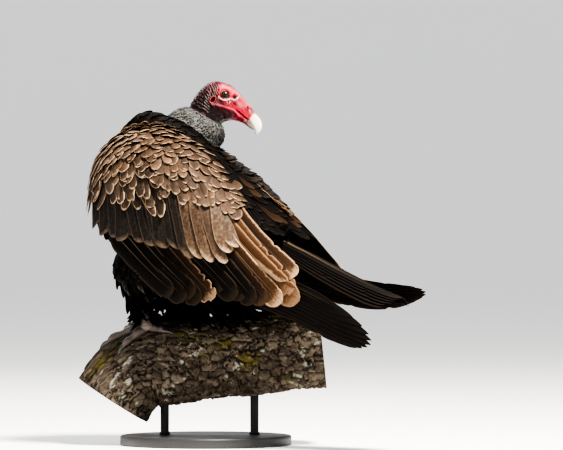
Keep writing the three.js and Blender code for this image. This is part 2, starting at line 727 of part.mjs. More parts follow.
const head = new THREE.Group();
head.position.set(...HEAD_PLACE);
head.rotation.set(0, radians(HEAD_TILT), radians(HEAD_HEADING), 'ZYX');
bird.add(head);
head.add(named('head', headSolid(), redSkin));
head.add(named('neck_bare', neckBare(), darkSkin));
head.add(named('bill_upper', billUpper(), ivoryHorn));
head.add(named('bill_lower', billLower(), ivoryHorn));
for (const [word, side] of Object.entries(sides)) head.add(named(`eye_${word}`, eyeBall(side), brownIris));

const ruff = carved(ruffTube(), [trunk, coverts.right, coverts.left], 2 * GAP);
bird.add(named('neck_ruff', ruff, blackPlumage));

const stand = new THREE.Group();
part.add(stand);
stand.add(named('stand_base', standBase(), darkPaint));

// Each rod stands on the base, right under the limb's axis, and ends in a hole drilled in the limb.
const wholeLimb = limbSolid();
const sockets = [];
for (const [name, run] of Object.entries(ROD_RUNS)) {
  const [x, y, underside] = limbPoint(run, Math.PI, LIMB_RADIUS);
  const top = PERCH_TOP + underside + ROD_DEPTH_IN_LIMB;
  const bottom = BASE_THICKNESS + GAP;
  const bar = new THREE.CylinderGeometry(ROD_RADIUS, ROD_RADIUS, top - bottom, 12);
  bar.rotateX(Math.PI / 2);
  bar.translate(0, 0, (top + bottom) / 2);
  const rodMesh = named(name, closed(bar), darkPaint);
  rodMesh.position.set(x + BIRD_OFFSET_X, y + BIRD_OFFSET_Y, 0);
  stand.add(rodMesh);
  sockets.push(closed(bar.clone().translate(x, y, -PERCH_TOP)));
}
bird.add(named('perch_limb', carved(wholeLimb, sockets), bark));

export default part;
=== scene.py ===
"""Looks of a turkey vulture perched on a cut limb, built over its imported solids.

Lengths are worked out in millimetres in the bird's own layout: zero is the top of the limb midway
between the feet, +Z is up, the bird faces -Y and its left side is towards +X. They are moved by
BIRD_OFFSET and turned into metres when a mesh is made.
"""

import bpy
import numpy as np
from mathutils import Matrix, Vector


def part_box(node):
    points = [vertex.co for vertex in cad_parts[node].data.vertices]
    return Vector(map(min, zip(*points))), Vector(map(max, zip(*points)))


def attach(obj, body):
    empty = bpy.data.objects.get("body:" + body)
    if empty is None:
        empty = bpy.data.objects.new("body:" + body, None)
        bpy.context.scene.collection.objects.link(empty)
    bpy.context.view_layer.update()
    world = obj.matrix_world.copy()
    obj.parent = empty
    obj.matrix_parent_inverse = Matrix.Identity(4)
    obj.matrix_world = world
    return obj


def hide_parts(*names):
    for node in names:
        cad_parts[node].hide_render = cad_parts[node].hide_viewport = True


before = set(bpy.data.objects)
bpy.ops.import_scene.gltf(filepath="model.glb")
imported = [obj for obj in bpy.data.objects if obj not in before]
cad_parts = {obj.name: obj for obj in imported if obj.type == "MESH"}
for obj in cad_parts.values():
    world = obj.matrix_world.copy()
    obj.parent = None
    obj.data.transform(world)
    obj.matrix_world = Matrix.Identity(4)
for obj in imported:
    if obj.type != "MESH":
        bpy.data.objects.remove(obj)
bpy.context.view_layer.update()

rng = np.random.default_rng(11)

# ---------- dimensions, in millimetres

BIRD_OFFSET = np.array([25.0, -44.0, 172.0])
HEAD_PLACE = np.array([-80.0, 36.0, 318.0])
HEAD_HEADING = np.radians(127.0)
HEAD_TILT = np.radians(36.0)
EYE_RADIUS, EYE_OUT = 6.4, 13.0
LIMB_HEADING = np.radians(127.0)
LIMB_RADIUS, LIMB_OFFSET = 58.0, -12.0
LIMB_COS, LIMB_SIN = np.cos(LIMB_HEADING), np.sin(LIMB_HEADING)
FOOT_SIDE, FOOT_Y, FOOT_HEADING = 34.0, -14.0, -66.0
TOE_RADIUS, TOE_STEPS, SCALE_LENGTH = 5.2, 12, 2.6
COAT_DEPTH = 7.0
BAKE_PATCH = 0.003
SHAFT_SIDES, SHAFT_END, SHAFT_KIND = 6, 0.97, 2.0
PIECE_TRIANGLES = 194000
TURNED_STEPS = 96

# The limb's axis: the way along it, height.
LIMB_AXIS = [
    (-82, -112), (-66, -88), (-45, -69), (-20, -60), (0, -58), (55, -51), (110, -45), (215, -34),
]
# The trunk across Y: lowest point, highest point, half-width.
TRUNK = [
    (-102, 158, 172, 8), (-98, 128, 205, 34), (-84, 104, 244, 56), (-62, 86, 277, 71),
    (-35, 76, 291, 79), (-5, 62, 289, 81), (25, 42, 276, 80), (60, 32, 250, 76),
    (100, 36, 217, 68), (140, 54, 181, 56), (175, 80, 152, 42), (200, 102, 131, 29),
]
# The folded wing's shell across Y: ridge height, ridge from the middle, half-width, fall of the curve.
SHELL = [
    (-88, 246, 52, 78, 78), (-74, 255, 46, 90, 84), (-50, 268, 38, 100, 90), (-20, 277, 34, 105, 92),
    (20, 277, 32, 105, 92), (60, 261, 31, 102, 90), (100, 231, 29, 96, 80), (150, 179, 30, 87, 62),
    (200, 138, 34, 78, 50), (255, 92, 38, 68, 42), (300, 66, 42, 62, 34), (410, 6, 44, 56, 30),
]
COVERT_FRONT = [(0, -48), (0.2, -75), (0.4, -86), (0.6, -83), (0.8, -68), (1, -47)]
COVERT_BACK = [(0, 148), (0.4, 166), (0.75, 178), (1, 180)]
COVERT_LOWER = [(-60, 122), (-17, 110), (68, 106), (131, 106), (180, 112)]
# Secondaries from the lowest to the innermost: root Y, root height, tip Y, tip height.
SECONDARIES = [
    (0, -22, 128, 76, 46), (0.18, 12, 139, 114, 33), (0.4, 50, 156, 158, 42),
    (0.62, 90, 168, 208, 30), (0.8, 116, 174, 250, 26), (0.92, 130, 178, 270, 44),
    (1, 140, 180, 264, 78),
]
# Primaries from the lowest to the uppermost: tip Y, tip height over the bundle's middle line.
PRIMARY_TIPS = [(0, 358, -22), (0.2, 376, -13), (0.4, 388, -2), (0.6, 384, 9), (0.8, 360, 17), (1, 322, 20)]
BUNDLE = {
    1: [(-34, 146, 84), (60, 108, 84), (150, 74, 73), (250, 41, 58), (330, 8, 54), (400, -26, 56)],
    -1: [(-34, 142, 84), (60, 104, 82), (150, 78, 70), (250, 54, 53), (330, 45, 47), (410, 46, 45)],
}
TAIL = [(150, 150, 20), (200, 116, 27), (243, 98, 29), (300, 74, 34), (350, 55, 36), (410, 36, 37)]
# Head and bare neck in the head's frame: upper point, lower point (forward, up), half-width.
HEAD_STATIONS = [
    (-22, -76, 20, -70, 19), (-28, -55.4, 18.5, -51, 20), (-31.3, -39.4, 20.3, -34.9, 21),
    (-32.4, -24.2, 21, -33.4, 20.5), (-31.9, -14, 21.6, -32, 20.5), (-29.5, -4.7, 22.5, -30.2, 20.5),
    (-25.8, 3.1, 24, -28.6, 20.5), (-19.5, 9, 25.3, -26.8, 20.2), (-5, 14.2, 27, -24.8, 18.6),
    (6.7, 14.9, 29.4, -23, 15.4), (16, 13.6, 32.5, -21.2, 12.4), (24.5, 11.2, 36.5, -19.4, 10),
    (37.9, 8.3, 41, -18.2, 8.4), (49.5, 3.4, 45.4, -18, 7.8),
]
BILL_UPPER = [
    (47, 4.6, 44.6, -8.6, 7.4), (49.5, 3.6, 47.1, -9.2, 7.9), (55.5, 2.6, 51.6, -11.2, 7.3),
    (60.6, 0.9, 56, -13, 6.5), (65, -2, 60, -14.6, 5.6), (68, -5.7, 62.8, -15.8, 4.6),
    (69.9, -10.9, 64.4, -17, 3.4), (69.2, -15.7, 65.2, -18.8, 2.1), (66.9, -21, 66.5, -21.2, 0.3),
]
BILL_LOWER = [
    (43, -9.4, 42, -17.6, 7.0), (46.9, -9.9, 45.4, -17.9, 7.4), (51.8, -11.7, 50.6, -17.8, 6.6),
    (56.4, -13.6, 55.6, -17.9, 5.2), (61, -15.6, 60.6, -17.2, 2),
]
# The feathered neck from the shoulders to the ruff's rim: centre, half-width.
RUFF = [
    (0, -40, 186, 30), (-12, -40, 214, 46), (-30, -26, 240, 50), (-47, -7, 257, 49),
    (-56.8, 5.5, 271.2, 48.5), (-61, 10.9, 282.2, 40.5), (-63.9, 14.6, 290.3, 27.4),
]
# Feathered thigh: centre X, Y, Z, half-width across, half-width fore and aft.
THIGH = [
    (46, 14, 128, 20, 26), (47, 0, 108, 36, 52), (46, -8, 84, 36, 54), (42, -18, 58, 29, 40),
    (37, -24, 34, 19, 21), (34, -20, 10, 12, 12),
]
# A toe: turn from the middle toe in degrees, length, thickness, claw length.
TOES = {1: (172, 24, 0.85, 15), 2: (-38, 38, 0.95, 15), 3: (0, 58, 1, 17), 4: (36, 42, 0.9, 13)}


# ---------- numbers

def along(table, key):
    """Smooth reading of a table by its first column: cubic pieces that share slopes at each row."""
    rows = np.asarray(table, float)
    keys, values = rows[:, 0], rows[:, 1:]
    key = np.clip(np.asarray(key, float), keys[0], keys[-1])
    last = len(keys) - 1
    i = np.clip(np.searchsorted(keys, key, side="left") - 1, 0, last - 1)
    before = np.maximum(np.arange(last + 1) - 1, 0)
    after = np.minimum(np.arange(last + 1) + 1, last)
    slopes = (values[after] - values[before]) / (keys[after] - keys[before])[:, None]
    span = (keys[i + 1] - keys[i])[..., None]
    t = (key - keys[i])[..., None] / span
    return ((2 * t**3 - 3 * t**2 + 1) * values[i] + (t**3 - 2 * t**2 + t) * span * slopes[i]
            + (3 * t**2 - 2 * t**3) * values[i + 1] + (t**3 - t**2) * span * slopes[i + 1])


def keyed(rows):
    """The rows with their place in the table, 0, 1, 2 and so on, put in front."""
    return [(i, *row) for i, row in enumerate(rows)]


def ramp(value, low, high):
    """Smooth step from 0 at low to 1 at high."""
    t = np.clip((np.asarray(value, float) - low) / (high - low), 0, 1)
    return t * t * (3 - 2 * t)


def mix(a, b, t):
    """Straight mix of two numbers, colours or points: a where t is 0 and b where t is 1."""
    a, b = np.asarray(a, float), np.asarray(b, float)
    return a + (b - a) * t


def over(tone, colour, amount):
    """A colour laid over a tone by an amount, 0 to 1, at each point."""
    return mix(tone, colour, np.clip(amount, 0, 1)[..., None])


def bell(distance, width=1.0):
    """Bell curve: 1 at no distance, and falling as the exponential of the square of distance by width."""
    return np.exp(-((distance / width) ** 2))


def unit(v):
    """Each direction divided by its length."""
    return v / np.maximum(np.linalg.norm(v, axis=-1, keepdims=True), 1e-9)


def per_feather(count, *values):
    """One number, or one for each feather, as columns of that many rows."""
    return [np.broadcast_to(value, (count,))[:, None] for value in values]


def wobble(p, scale, seed):
    """Smooth made-up noise of about -1 to 1: five slanted sine waves whose phases bend one another."""
    p = np.asarray(p, float) / scale
    total = np.zeros(p.shape[:-1])
    for k in range(5):
        a = np.array([np.sin(1.7 * k + seed), np.cos(2.3 * k + 1.3 * seed), np.sin(3.1 * k + 0.7 + seed)])
        total = total + np.sin(p @ (a * (1.4 + 0.9 * k)) + 2.1 * k + seed + 1.2 * total) / (1 + 0.5 * k)
    return total / 2.2


# ---------- meshes

SIDES = (("left", 1), ("right", -1))


def ring_steps(sides):
    """Even angles round a circle."""
    return np.linspace(0, 2 * np.pi, sides, endpoint=False)


def ring_pairs(sides):
    """The numbers of a ring's points, and of the next one to each."""
    j = np.arange(sides)
    return j, (j + 1) % sides


def ring_grid(rows, sides):
    """For a grid of rings: the part of the way along, 0 to 1, and the angle of every point."""
    return np.meshgrid(np.linspace(0, 1, rows), ring_steps(sides), indexing="ij")


def grid_quads(rows, columns, wrap=False):
    """Quads of a grid of points, row by row, whose columns may close into a ring."""
    i, j = np.meshgrid(np.arange(rows - 1), np.arange(columns - (0 if wrap else 1)), indexing="ij")
    here, beside = i * columns + j, i * columns + (j + 1) % columns
    return np.stack([here, beside, beside + columns, here + columns], -1).reshape(-1, 4)


def placed(name, data):
    """An object of a mesh, lamp or camera, put in the scene."""
    made = bpy.data.objects.new(name, data)
    bpy.context.scene.collection.objects.link(made)
    return made


def make(name, points, faces, material, replaces=(), tone=None, uvs=None, colours=None):
    """A smooth mesh object from points in the bird's layout and a list of arrays of quads or triangles. A
    tone is one colour, or one for each point."""
    mesh = bpy.data.meshes.new(name)
    points = (np.asarray(points, float) + BIRD_OFFSET) * 0.001
    mesh.vertices.add(len(points))
    mesh.vertices.foreach_set("co", points.astype(np.float32).ravel())
    faces = [np.asarray(f, np.int32) for f in faces if len(f)]
    corners = np.concatenate([f.ravel() for f in faces])
    sizes = np.concatenate([np.full(len(f), f.shape[1]) for f in faces])
    mesh.loops.add(len(corners))
    mesh.loops.foreach_set("vertex_index", corners)
    mesh.polygons.add(len(sizes))
    mesh.polygons.foreach_set("loop_start", (np.cumsum(sizes) - sizes).astype(np.int32))
    mesh.update(calc_edges=True)
    for key, uv in (uvs or {}).items():
        layer = mesh.uv_layers.new(name=key)
        layer.data.foreach_set("uv", np.asarray(uv, np.float32)[corners].ravel())
    if tone is not None:
        colours = {"Tone": tone}
    for key, values in (colours or {}).items():
        solid = np.ones((len(points), 4), np.float32)
        solid[:, :3] = values
        layer = mesh.color_attributes.new(name=key, type="FLOAT_COLOR", domain="POINT")
        layer.data.foreach_set("color", solid.ravel())
    mesh.validate()
    mesh.polygons.foreach_set("use_smooth", np.full(len(mesh.polygons), True))
    mesh.materials.append(material)
    piece = placed(name, mesh)
    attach(piece, "root")
    if replaces:
        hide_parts(*replaces)


class Batch:
    """Feathers gathered for one joined mesh: points, faces, place on the vane and on the bake map, colour
    and marks."""

    def __init__(self):
        self.points, self.quads, self.maps, self.count = [], [], [], 0

    def add(self, points, quads, vane, home, tint, mark):
        """Add vanes; each is a patch on the bake map, centred on its home and BAKE_PATCH across. Tint and
        mark are for all the points or for each."""
        self.points.append(points)
        self.quads.append(quads + self.count)
        self.count += len(points)
        tint, mark = (np.broadcast_to(values, (len(points), 3)) for values in (tint, mark))
        self.maps.append((vane, home + (vane - 0.5) * BAKE_PATCH, tint, mark))

    def build(self, name, material, replaces=()):
        """Join all that was added into one piece."""
        vane, bake, tint, mark = (np.concatenate(part) for part in zip(*self.maps))
        make(name, np.concatenate(self.points), [np.concatenate(self.quads)], material, replaces,
             uvs={"Vane": vane, "OFBake": bake}, colours={"Tint": tint, "Mark": mark})


def end_caps(rows, sides, first, last):
    """Triangles from a tube's first and last ring to the points numbered first and last."""
    j, k = ring_pairs(sides)
    base = (rows - 1) * sides
    return np.concatenate([np.stack([k, j, np.full(sides, first)], 1),
                           np.stack([base + j, base + k, np.full(sides, last)], 1)])


def tube(path, radius, sides, flat=1.0):
    """A closed tube: rings of a radius about the points of a path, each end closed to its middle point.

    flat squeezes the ring along its upward direction. Returns points, quads, end triangles, the part of
    the way along and the angle from the top of every point.
    """
    forward = unit(np.gradient(path, axis=0))
    across = unit(np.cross(forward, [0.05, 0.1, 1.0]))
    above = np.cross(across, forward)
    angle = ring_steps(sides)
    ring = np.cos(angle)[:, None] * above[:, None] * flat + np.sin(angle)[:, None] * across[:, None]
    points = path[:, None] + ring * radius[:, None, None]
    points = np.concatenate([points.reshape(-1, 3), path[:1], path[-1:]])
    way = np.concatenate([np.repeat(np.linspace(0, 1, len(path)), sides), [0, 1]])
    turn = np.concatenate([np.tile(angle, len(path)), [0, 0]])
    caps = end_caps(len(path), sides, len(points) - 2, len(points) - 1)
    return points, grid_quads(len(path), sides, wrap=True), caps, way, turn


# ---------- feathers

def vane_grid(columns, rows, tip_power=1.5):
    """The plan of one thin closed vane: a grid of points on its upper face, and under each inner point a
    second one for its lower face. Returns across (-1 to 1), along (0 to 1), lower flags and quads."""
    x, j = np.meshgrid(np.linspace(-1, 1, columns), np.linspace(0, 1, rows))
    t = 1 - (1 - j) ** tip_power
    under = np.arange(rows * columns).reshape(rows, columns)
    inner = np.arange((rows - 2) * (columns - 2)).reshape(rows - 2, columns - 2) + under.size
    under[1:-1, 1:-1] = inner
    upper = grid_quads(rows, columns)
    lower = under.ravel()[upper][:, ::-1]
    x = np.concatenate([x.ravel(), x[1:-1, 1:-1].ravel()])
    t = np.concatenate([t.ravel(), t[1:-1, 1:-1].ravel()])
    low = np.concatenate([np.zeros(under.size), np.ones(inner.size)])
    return x, t, low, np.concatenate([upper, lower])


def vane_width(t, root, full, round_from, point, tip=0.06):
    """Half-width of a feather along its length, at most 1: it widens from the root, and its end is
    rounded by a power curve, a circle for 2 and a sharper point for less."""
    grow = root + (1 - root) * ramp(t, 0, full)
    past = np.clip((t - round_from) / (1 - round_from), 0, 1)
    return np.maximum(grow * (1 - past**point) ** (1 / point), tip)


def lay_feathers(batch, surface, roots, heading, length, width, rise, tint, home, columns, rows, camber,
                 tilt, shape, mark, thick=0.35, bend=0.0, ragged=0.0):
    """Many feathers laid on a curved surface, each a closed vane that follows it.

    surface(a, b, h) gives the point at a, b in millimetres and h over them. A feather runs from its root
    along its heading (radians from +a towards +b); across it the vane drops by camber times half the width
    times the square of the way out, and its height goes from rise[0] at the root to rise[1] at the tip.
    home is its place on the bake map; a random number is put beside its mark of fringe and wear.
    """
    count = len(roots)
    x, t, low, quads = vane_grid(columns, rows)
    size = len(x)
    edge = vane_width(t, **shape)
    random = rng.random((count, 1))
    cut = 1 + ragged * np.sin(t * (17 + 9 * random) + 40 * random) * np.sin(31 * t + 17 * random)
    heading, length, width, bend, tilt, root_rise, tip_rise = per_feather(
        count, heading, length, width, bend, tilt, *rise)
    way = t * length
    side = x * width * 0.5 * edge * cut
    angle = heading + bend * t
    a = roots[:, :1] + np.cos(angle) * way - np.sin(angle) * side
    b = roots[:, 1:2] + np.sin(angle) * way + np.cos(angle) * side
    height = (mix(root_rise, tip_rise, t**0.9) - camber * width * 0.5 * (x * edge) ** 2 + tilt * side
              - low * thick)
    faces = (quads + (np.arange(count) * size)[:, None, None]).reshape(-1, 4)
    vane = np.tile(np.stack([0.5 + 0.5 * x, t], 1), (count, 1))
    marked = np.column_stack([mark, random])
    batch.add(surface(a, b, height).reshape(-1, 3), faces, vane, np.repeat(home, size, axis=0),
              np.repeat(tint, size, axis=0), np.repeat(marked, size, axis=0))


def laid_flat(flow, normals):
    """Directions with their part along the normals taken out, so that they lie on the skin."""
    return unit(flow - normals * np.sum(flow * normals, axis=1, keepdims=True))


def loose_feathers(batch, roots, normals, flow, length, width, rise, tint, home, columns, rows, camber,
                   droop, ragged, shape, mark, sway, stand):
    """Many small feathers rooted at points of the skin. Each runs along the flow, laid flat on the skin,
    shaken sideways by sway and turned up by the angle stand. Its height over the root goes from rise[0] to
    rise[1], less droop times the square of the way along, so that it curls back to the body."""
    count = len(roots)
    flat = laid_flat(flow, normals)
    turn = rng.normal(0, sway, count)[:, None]
    forward = flat * np.cos(turn) + np.cross(normals, flat) * np.sin(turn)
    across = np.cross(normals, forward)
    forward, normals = (forward * np.cos(stand) + normals * np.sin(stand),
                        normals * np.cos(stand) - forward * np.sin(stand))
    root_rise, tip_rise, fall, full = per_feather(count, *rise, droop, length)

    def surface(a, b, h):
        """a along the feather, b across it and h over it."""
        way = a / full
        height = h + mix(root_rise, tip_rise, way) - fall * way**2
        return (roots[:, None] + forward[:, None] * a[..., None] + across[:, None] * b[..., None]
                + normals[:, None] * height[..., None])

    lay_feathers(batch, surface, np.zeros((count, 2)), 0.0, length, width, (0.0, 0.0), tint, home, columns,
                 rows, camber, rng.normal(0, 0.08, count), shape, mark, thick=0.3, ragged=ragged)


def shade(base, count, spread, warmth=0.04):
    """A colour for each feather: the base, each a little lighter or darker and warmer or cooler."""
    light = np.exp(rng.normal(0, spread, (count, 1)))
    warm = 1 + rng.normal(0, warmth, (count, 1)) * np.array([[1.0, 0.1, -1.0]])
    return np.clip(np.asarray(base, float) * light * warm, 0, 1)


def marks(count, low, high, wear):
    """For each feather a fringe from low to high and a wear up to a most, drawn at random."""
    return np.stack([rng.uniform(low, high, count), rng.uniform(0, wear, count)], 1)


# ---------- the folded wing

def shell_at(side, y):
    """Ridge height, ridge gap, half-width and fall of the wing's shell; the right side lies lower."""
    ridge, gap, half, fall = np.moveaxis(along(SHELL, y), -1, 0)
    lean = (1 - ramp(y, 70, 150)) if side < 0 else 0 * ridge
    lower = 24 * lean
    return ridge - lower, gap + 13 * lean, half, fall - 0.6 * lower


def shell_surface(side):
    """The wing's shell as a surface of Y and the length down from its ridge.

    Down to a quarter of an ellipse's length it is that quarter, from the ridge out to the half-width;
    beyond it hangs straight down, and before the ridge it goes on flat towards the middle.
    """
    def point(y, down, h):
        """The point at a Y, a length down and a height over the shell."""
        ridge, gap, half, fall = shell_at(side, y)
        quarter = 0.25 * np.pi * (half - gap + fall)
        angle = np.clip(down / quarter, 0, 1) * np.pi / 2
        x = gap + (half + h - gap) * np.sin(angle) + np.minimum(down, 0)
        z = ridge - fall + (fall + h) * np.cos(angle) - np.maximum(down - quarter, 0)
        return np.stack([side * x, y, z], axis=-1)
    return point


def shell_length(side, y, z):
    """The length down from the ridge of the shell's point at a Y and a height."""
    ridge, gap, half, fall = shell_at(side, y)
    quarter = 0.25 * np.pi * (half - gap + fall)
    bend = np.arccos(1 - np.clip((ridge - z) / fall, 0, 1)) / (np.pi / 2)
    return quarter * bend + np.maximum(ridge - fall - z, 0)


def covert_thick(back, down):
    """Depth of the covert layer: thick over the arm, thin at its back and lower edges."""
    full = mix(6.0, 2.6, down) + 7.0 * np.sin(np.pi * np.minimum(down / 0.85, 1))
    return mix(full, 2.6, ramp(back, 0.55, 1))


def covert_inside(side, y, down):
    """Depth of the covert layer's inner face at a place of the shell."""
    part = np.minimum(down / np.maximum(shell_length(side, y, along(COVERT_LOWER, y)[..., 0]), 1), 1)
    front, back = along(COVERT_FRONT, part)[..., 0], along(COVERT_BACK, part)[..., 0]
    return covert_thick(np.clip((y - front) / (back - front), 0, 1), part)


def bake_home(a, b, block):
    """Places on the bake map: each block is one cell of a four by four map, with a and b from 0 to 1."""
    corner = np.array([block % 4, block // 4]) * 0.25
    return corner + np.stack(np.broadcast_arrays(np.clip(a, 0, 1), np.clip(b, 0, 1)), -1) * 0.24 + 0.005


def wing_roots(side, first, last, rows, spacing):
    """Roots in staggered rows from one part of the way down the coverts to another, with their length
    along the shell and the part of the way back, evened out and then shaken a little."""
    found = []
    for row in range(rows):
        part = mix(first, last, (row + 0.5) / rows)
        front, back = along(COVERT_FRONT, part)[0] + 2, along(COVERT_BACK, part)[0] - 4
        number = max(int((back - front) / spacing), 2)
        key = (np.arange(number) + 0.25 + 0.5 * (row % 2)) / number
        key = key + rng.normal(0, 0.12 / number, number)
        parts = part + rng.normal(0, 0.12 / rows * (last - first), number)
        found.append(np.stack([mix(front, back, key), parts, key], axis=1))
    y, part, key = np.concatenate(found).T
    total = shell_length(side, y, along(COVERT_LOWER, y)[:, 0])
    return y, part * total, part, key


def wing_heading(part, key):
    """Way of the feathers, as an angle from +Y towards down: steeper at the front and lower edge."""
    from_down = 8 + 30 * np.clip(key, 0, 1) ** 1.3 + 34 * np.clip(1 - part, 0, 1) ** 2.2
    return np.radians(90 - from_down)


pointed = dict(root=0.5, full=0.4, round_from=0.45, point=1.5)
rounded = dict(root=0.5, full=0.4, round_from=0.6, point=2.0)
# Zones of small coverts: bake block, first and last part of the way down, rows, spacing, length, width,
# rise of root and tip, where the tip's rounding starts.
COVERT_ZONES = [
    (0, -0.04, 0.50, 15, 13.0, 23, 20.0, (-4.8, 2.4), 0.5),
    (1, 0.49, 0.61, 2, 13.5, 30, 19.0, (-4.4, 2.7), 0.6),
]
# Secondaries painted lighter as if lit, a painted highlight, those fringed more than the rest, and the
# two with frayed edges. The rest are painted near black, as shade.
SECONDARY_PAINTED_LIGHT = {4: 0.22, 9: 0.12, 10: 0.5, 11: 1.0, 12: 0.85, 13: 0.35}
SECONDARY_FRINGE = {4: 0.5, 10: 0.9, 13: 0.7}
FRAYED_SECONDARIES = (4, 12)
# Loose tertials: root Y, root height, tip Y, tip height, width.
TERTIALS = [(100, 214, 180, 168, 13), (102, 210, 190, 158, 17), (106, 200, 188, 150, 17),
            (112, 190, 186, 140, 16)]
BROWN, DUSK, TAN, FAWN, BLACK, SOOT, IVORY = np.array([
    [0.083, 0.048, 0.028], [0.0085, 0.006, 0.0046], [0.112, 0.053, 0.024], [0.26, 0.185, 0.130],
    [0.0042, 0.0037, 0.0035], [0.074, 0.074, 0.071], [0.62, 0.50, 0.34],
])


def small_coverts(side, zone, first, last, rows, spacing, length, width, rise, round_from):
    """One zone of the scaled layer, as what lay_feathers takes after its batch and surface. Rows end
    higher towards the back. Colours are paler at the front edge, a painted highlight where the shoulder
    faces the light, and darker in the lower rows, painted shade; on the right wing the feathers by the ridge
    are painted near black, as shade in the valley between the wings, with their fringes faded out."""
    y, down, part, key = wing_roots(side, first, last, rows, spacing)
    kept = part < 0.63 - 0.34 * ramp(key, 0.35, 0.95) + rng.normal(0, 0.012, len(y))
    y, down, part, key = y[kept], down[kept], part[kept], key[kept]
    count = len(y)
    heading = wing_heading(part, key) + rng.normal(0, 0.17, count)
    grow = 0.78 + 0.4 * np.clip(part / 0.5, 0, 1) + 0.25 * key**2
    lengths = length * grow * rng.normal(1, 0.13, count)
    widths = width * (0.8 + 0.3 * key) * rng.normal(1, 0.1, count)
    # Paler and greyer at the front edge: a painted highlight where the shoulder faces the light.
    tint = shade(BROWN, count, 0.34) * mix(1.0, 1.5, ramp(-key, -0.45, -0.1))[:, None]
    tint = mix(tint, shade(FAWN, count, 0.2), 0.6 * ramp(-key, -0.42, -0.08)[:, None])
    # Darker in the lower rows: painted shade.
    tint = tint * mix(1.0, 0.42, ramp(part, 0.30, 0.52))[:, None]
    # Right wing: near black by the ridge, with fringes faded there, as painted shade in the valley between
    # the wings.
    if side < 0:
        tint = mix(BLACK * 2, tint, ramp(down, 25, 70)[:, None])
    mark = marks(count, 0.5, 1.0, 0.3)
    if side < 0:
        mark[:, 0] *= ramp(down, 10, 60)
    tip_rise = rise[1] + rng.normal(0, 0.85, count)
    home = bake_home((y + 90) / 290, part, zone + (0 if side > 0 else 2))
    args = (np.stack([y, down], 1), heading, lengths, widths, (rise[0], tip_rise), tint, home)
    return args, dict(columns=7, rows=9, camber=0.26, tilt=rng.normal(0.03, 0.11, count), ragged=0.08,
                      shape=dict(root=0.45, full=0.45, round_from=round_from, point=2.0), mark=mark,
                      bend=rng.normal(0, 0.22, count))


def wing_coverts(side, word, material):
    """The scaled layer over the arm: many rows of small rounded feathers, then fifteen longer ones below."""
    surface = shell_surface(side)
    small = Batch()
    for zone in COVERT_ZONES:
        args, finish = small_coverts(side, *zone)
        lay_feathers(small, surface, *args, **finish)
    small.build(f"coverts_{word}_small", material)

    large = Batch()
    count = 15
    key = (np.arange(count) + 0.5) / count
    y = mix(along(COVERT_FRONT, 0.7)[0] + 11, along(COVERT_BACK, 0.7)[0] - 2, key)
    y = y + rng.normal(0, 1.2, count)
    total = shell_length(side, y, along(COVERT_LOWER, y)[:, 0])
    tips = total * 0.99 + rng.normal(0, 3.0, count) - 5
    heading = wing_heading(0.97, key * 0.8) + rng.normal(0, 0.04, count)
    start = total * (0.55 - 0.29 * ramp(key, 0.35, 0.95))
    lengths = (tips - start) / np.sin(heading)
    roots = np.stack([y - 10 * key - (total * 0.55 - start) / np.tan(heading), start], 1)
    # Painted light: feathers towards the back are painted as lit brown with fuller fringes, the rest dark as
    # painted shade.
    painted_lit = ramp(key, 0.62, 0.72) * rng.uniform(0.55, 1, count)
    tint = mix(shade(DUSK * 0.8, count, 0.15), shade(BROWN * 1.5, count, 0.1), painted_lit[:, None])
    # The right wing's greater coverts are painted darker still: painted shade.
    if side < 0:
        tint = tint * 0.6
    mark = np.stack([0.12 + 0.6 * painted_lit, 0.1 + 0.7 * painted_lit * rng.random(count)], 1)
    rise = (-4.0, 0.4 + 1.6 * (np.arange(count) % 2))
    lay_feathers(large, surface, roots, heading, lengths, 21 + 9 * key, rise, tint,
                 bake_home(key, 0.5, 4 if side > 0 else 5), columns=9, rows=26, camber=0.22, tilt=0.19,
                 ragged=0.03, bend=rng.normal(0.03, 0.05, count), mark=mark,
                 shape=dict(root=0.5, full=0.3, round_from=0.84, point=2.2))
    large.build(f"coverts_{word}_greater", material, (f"wing_{word}_coverts",))


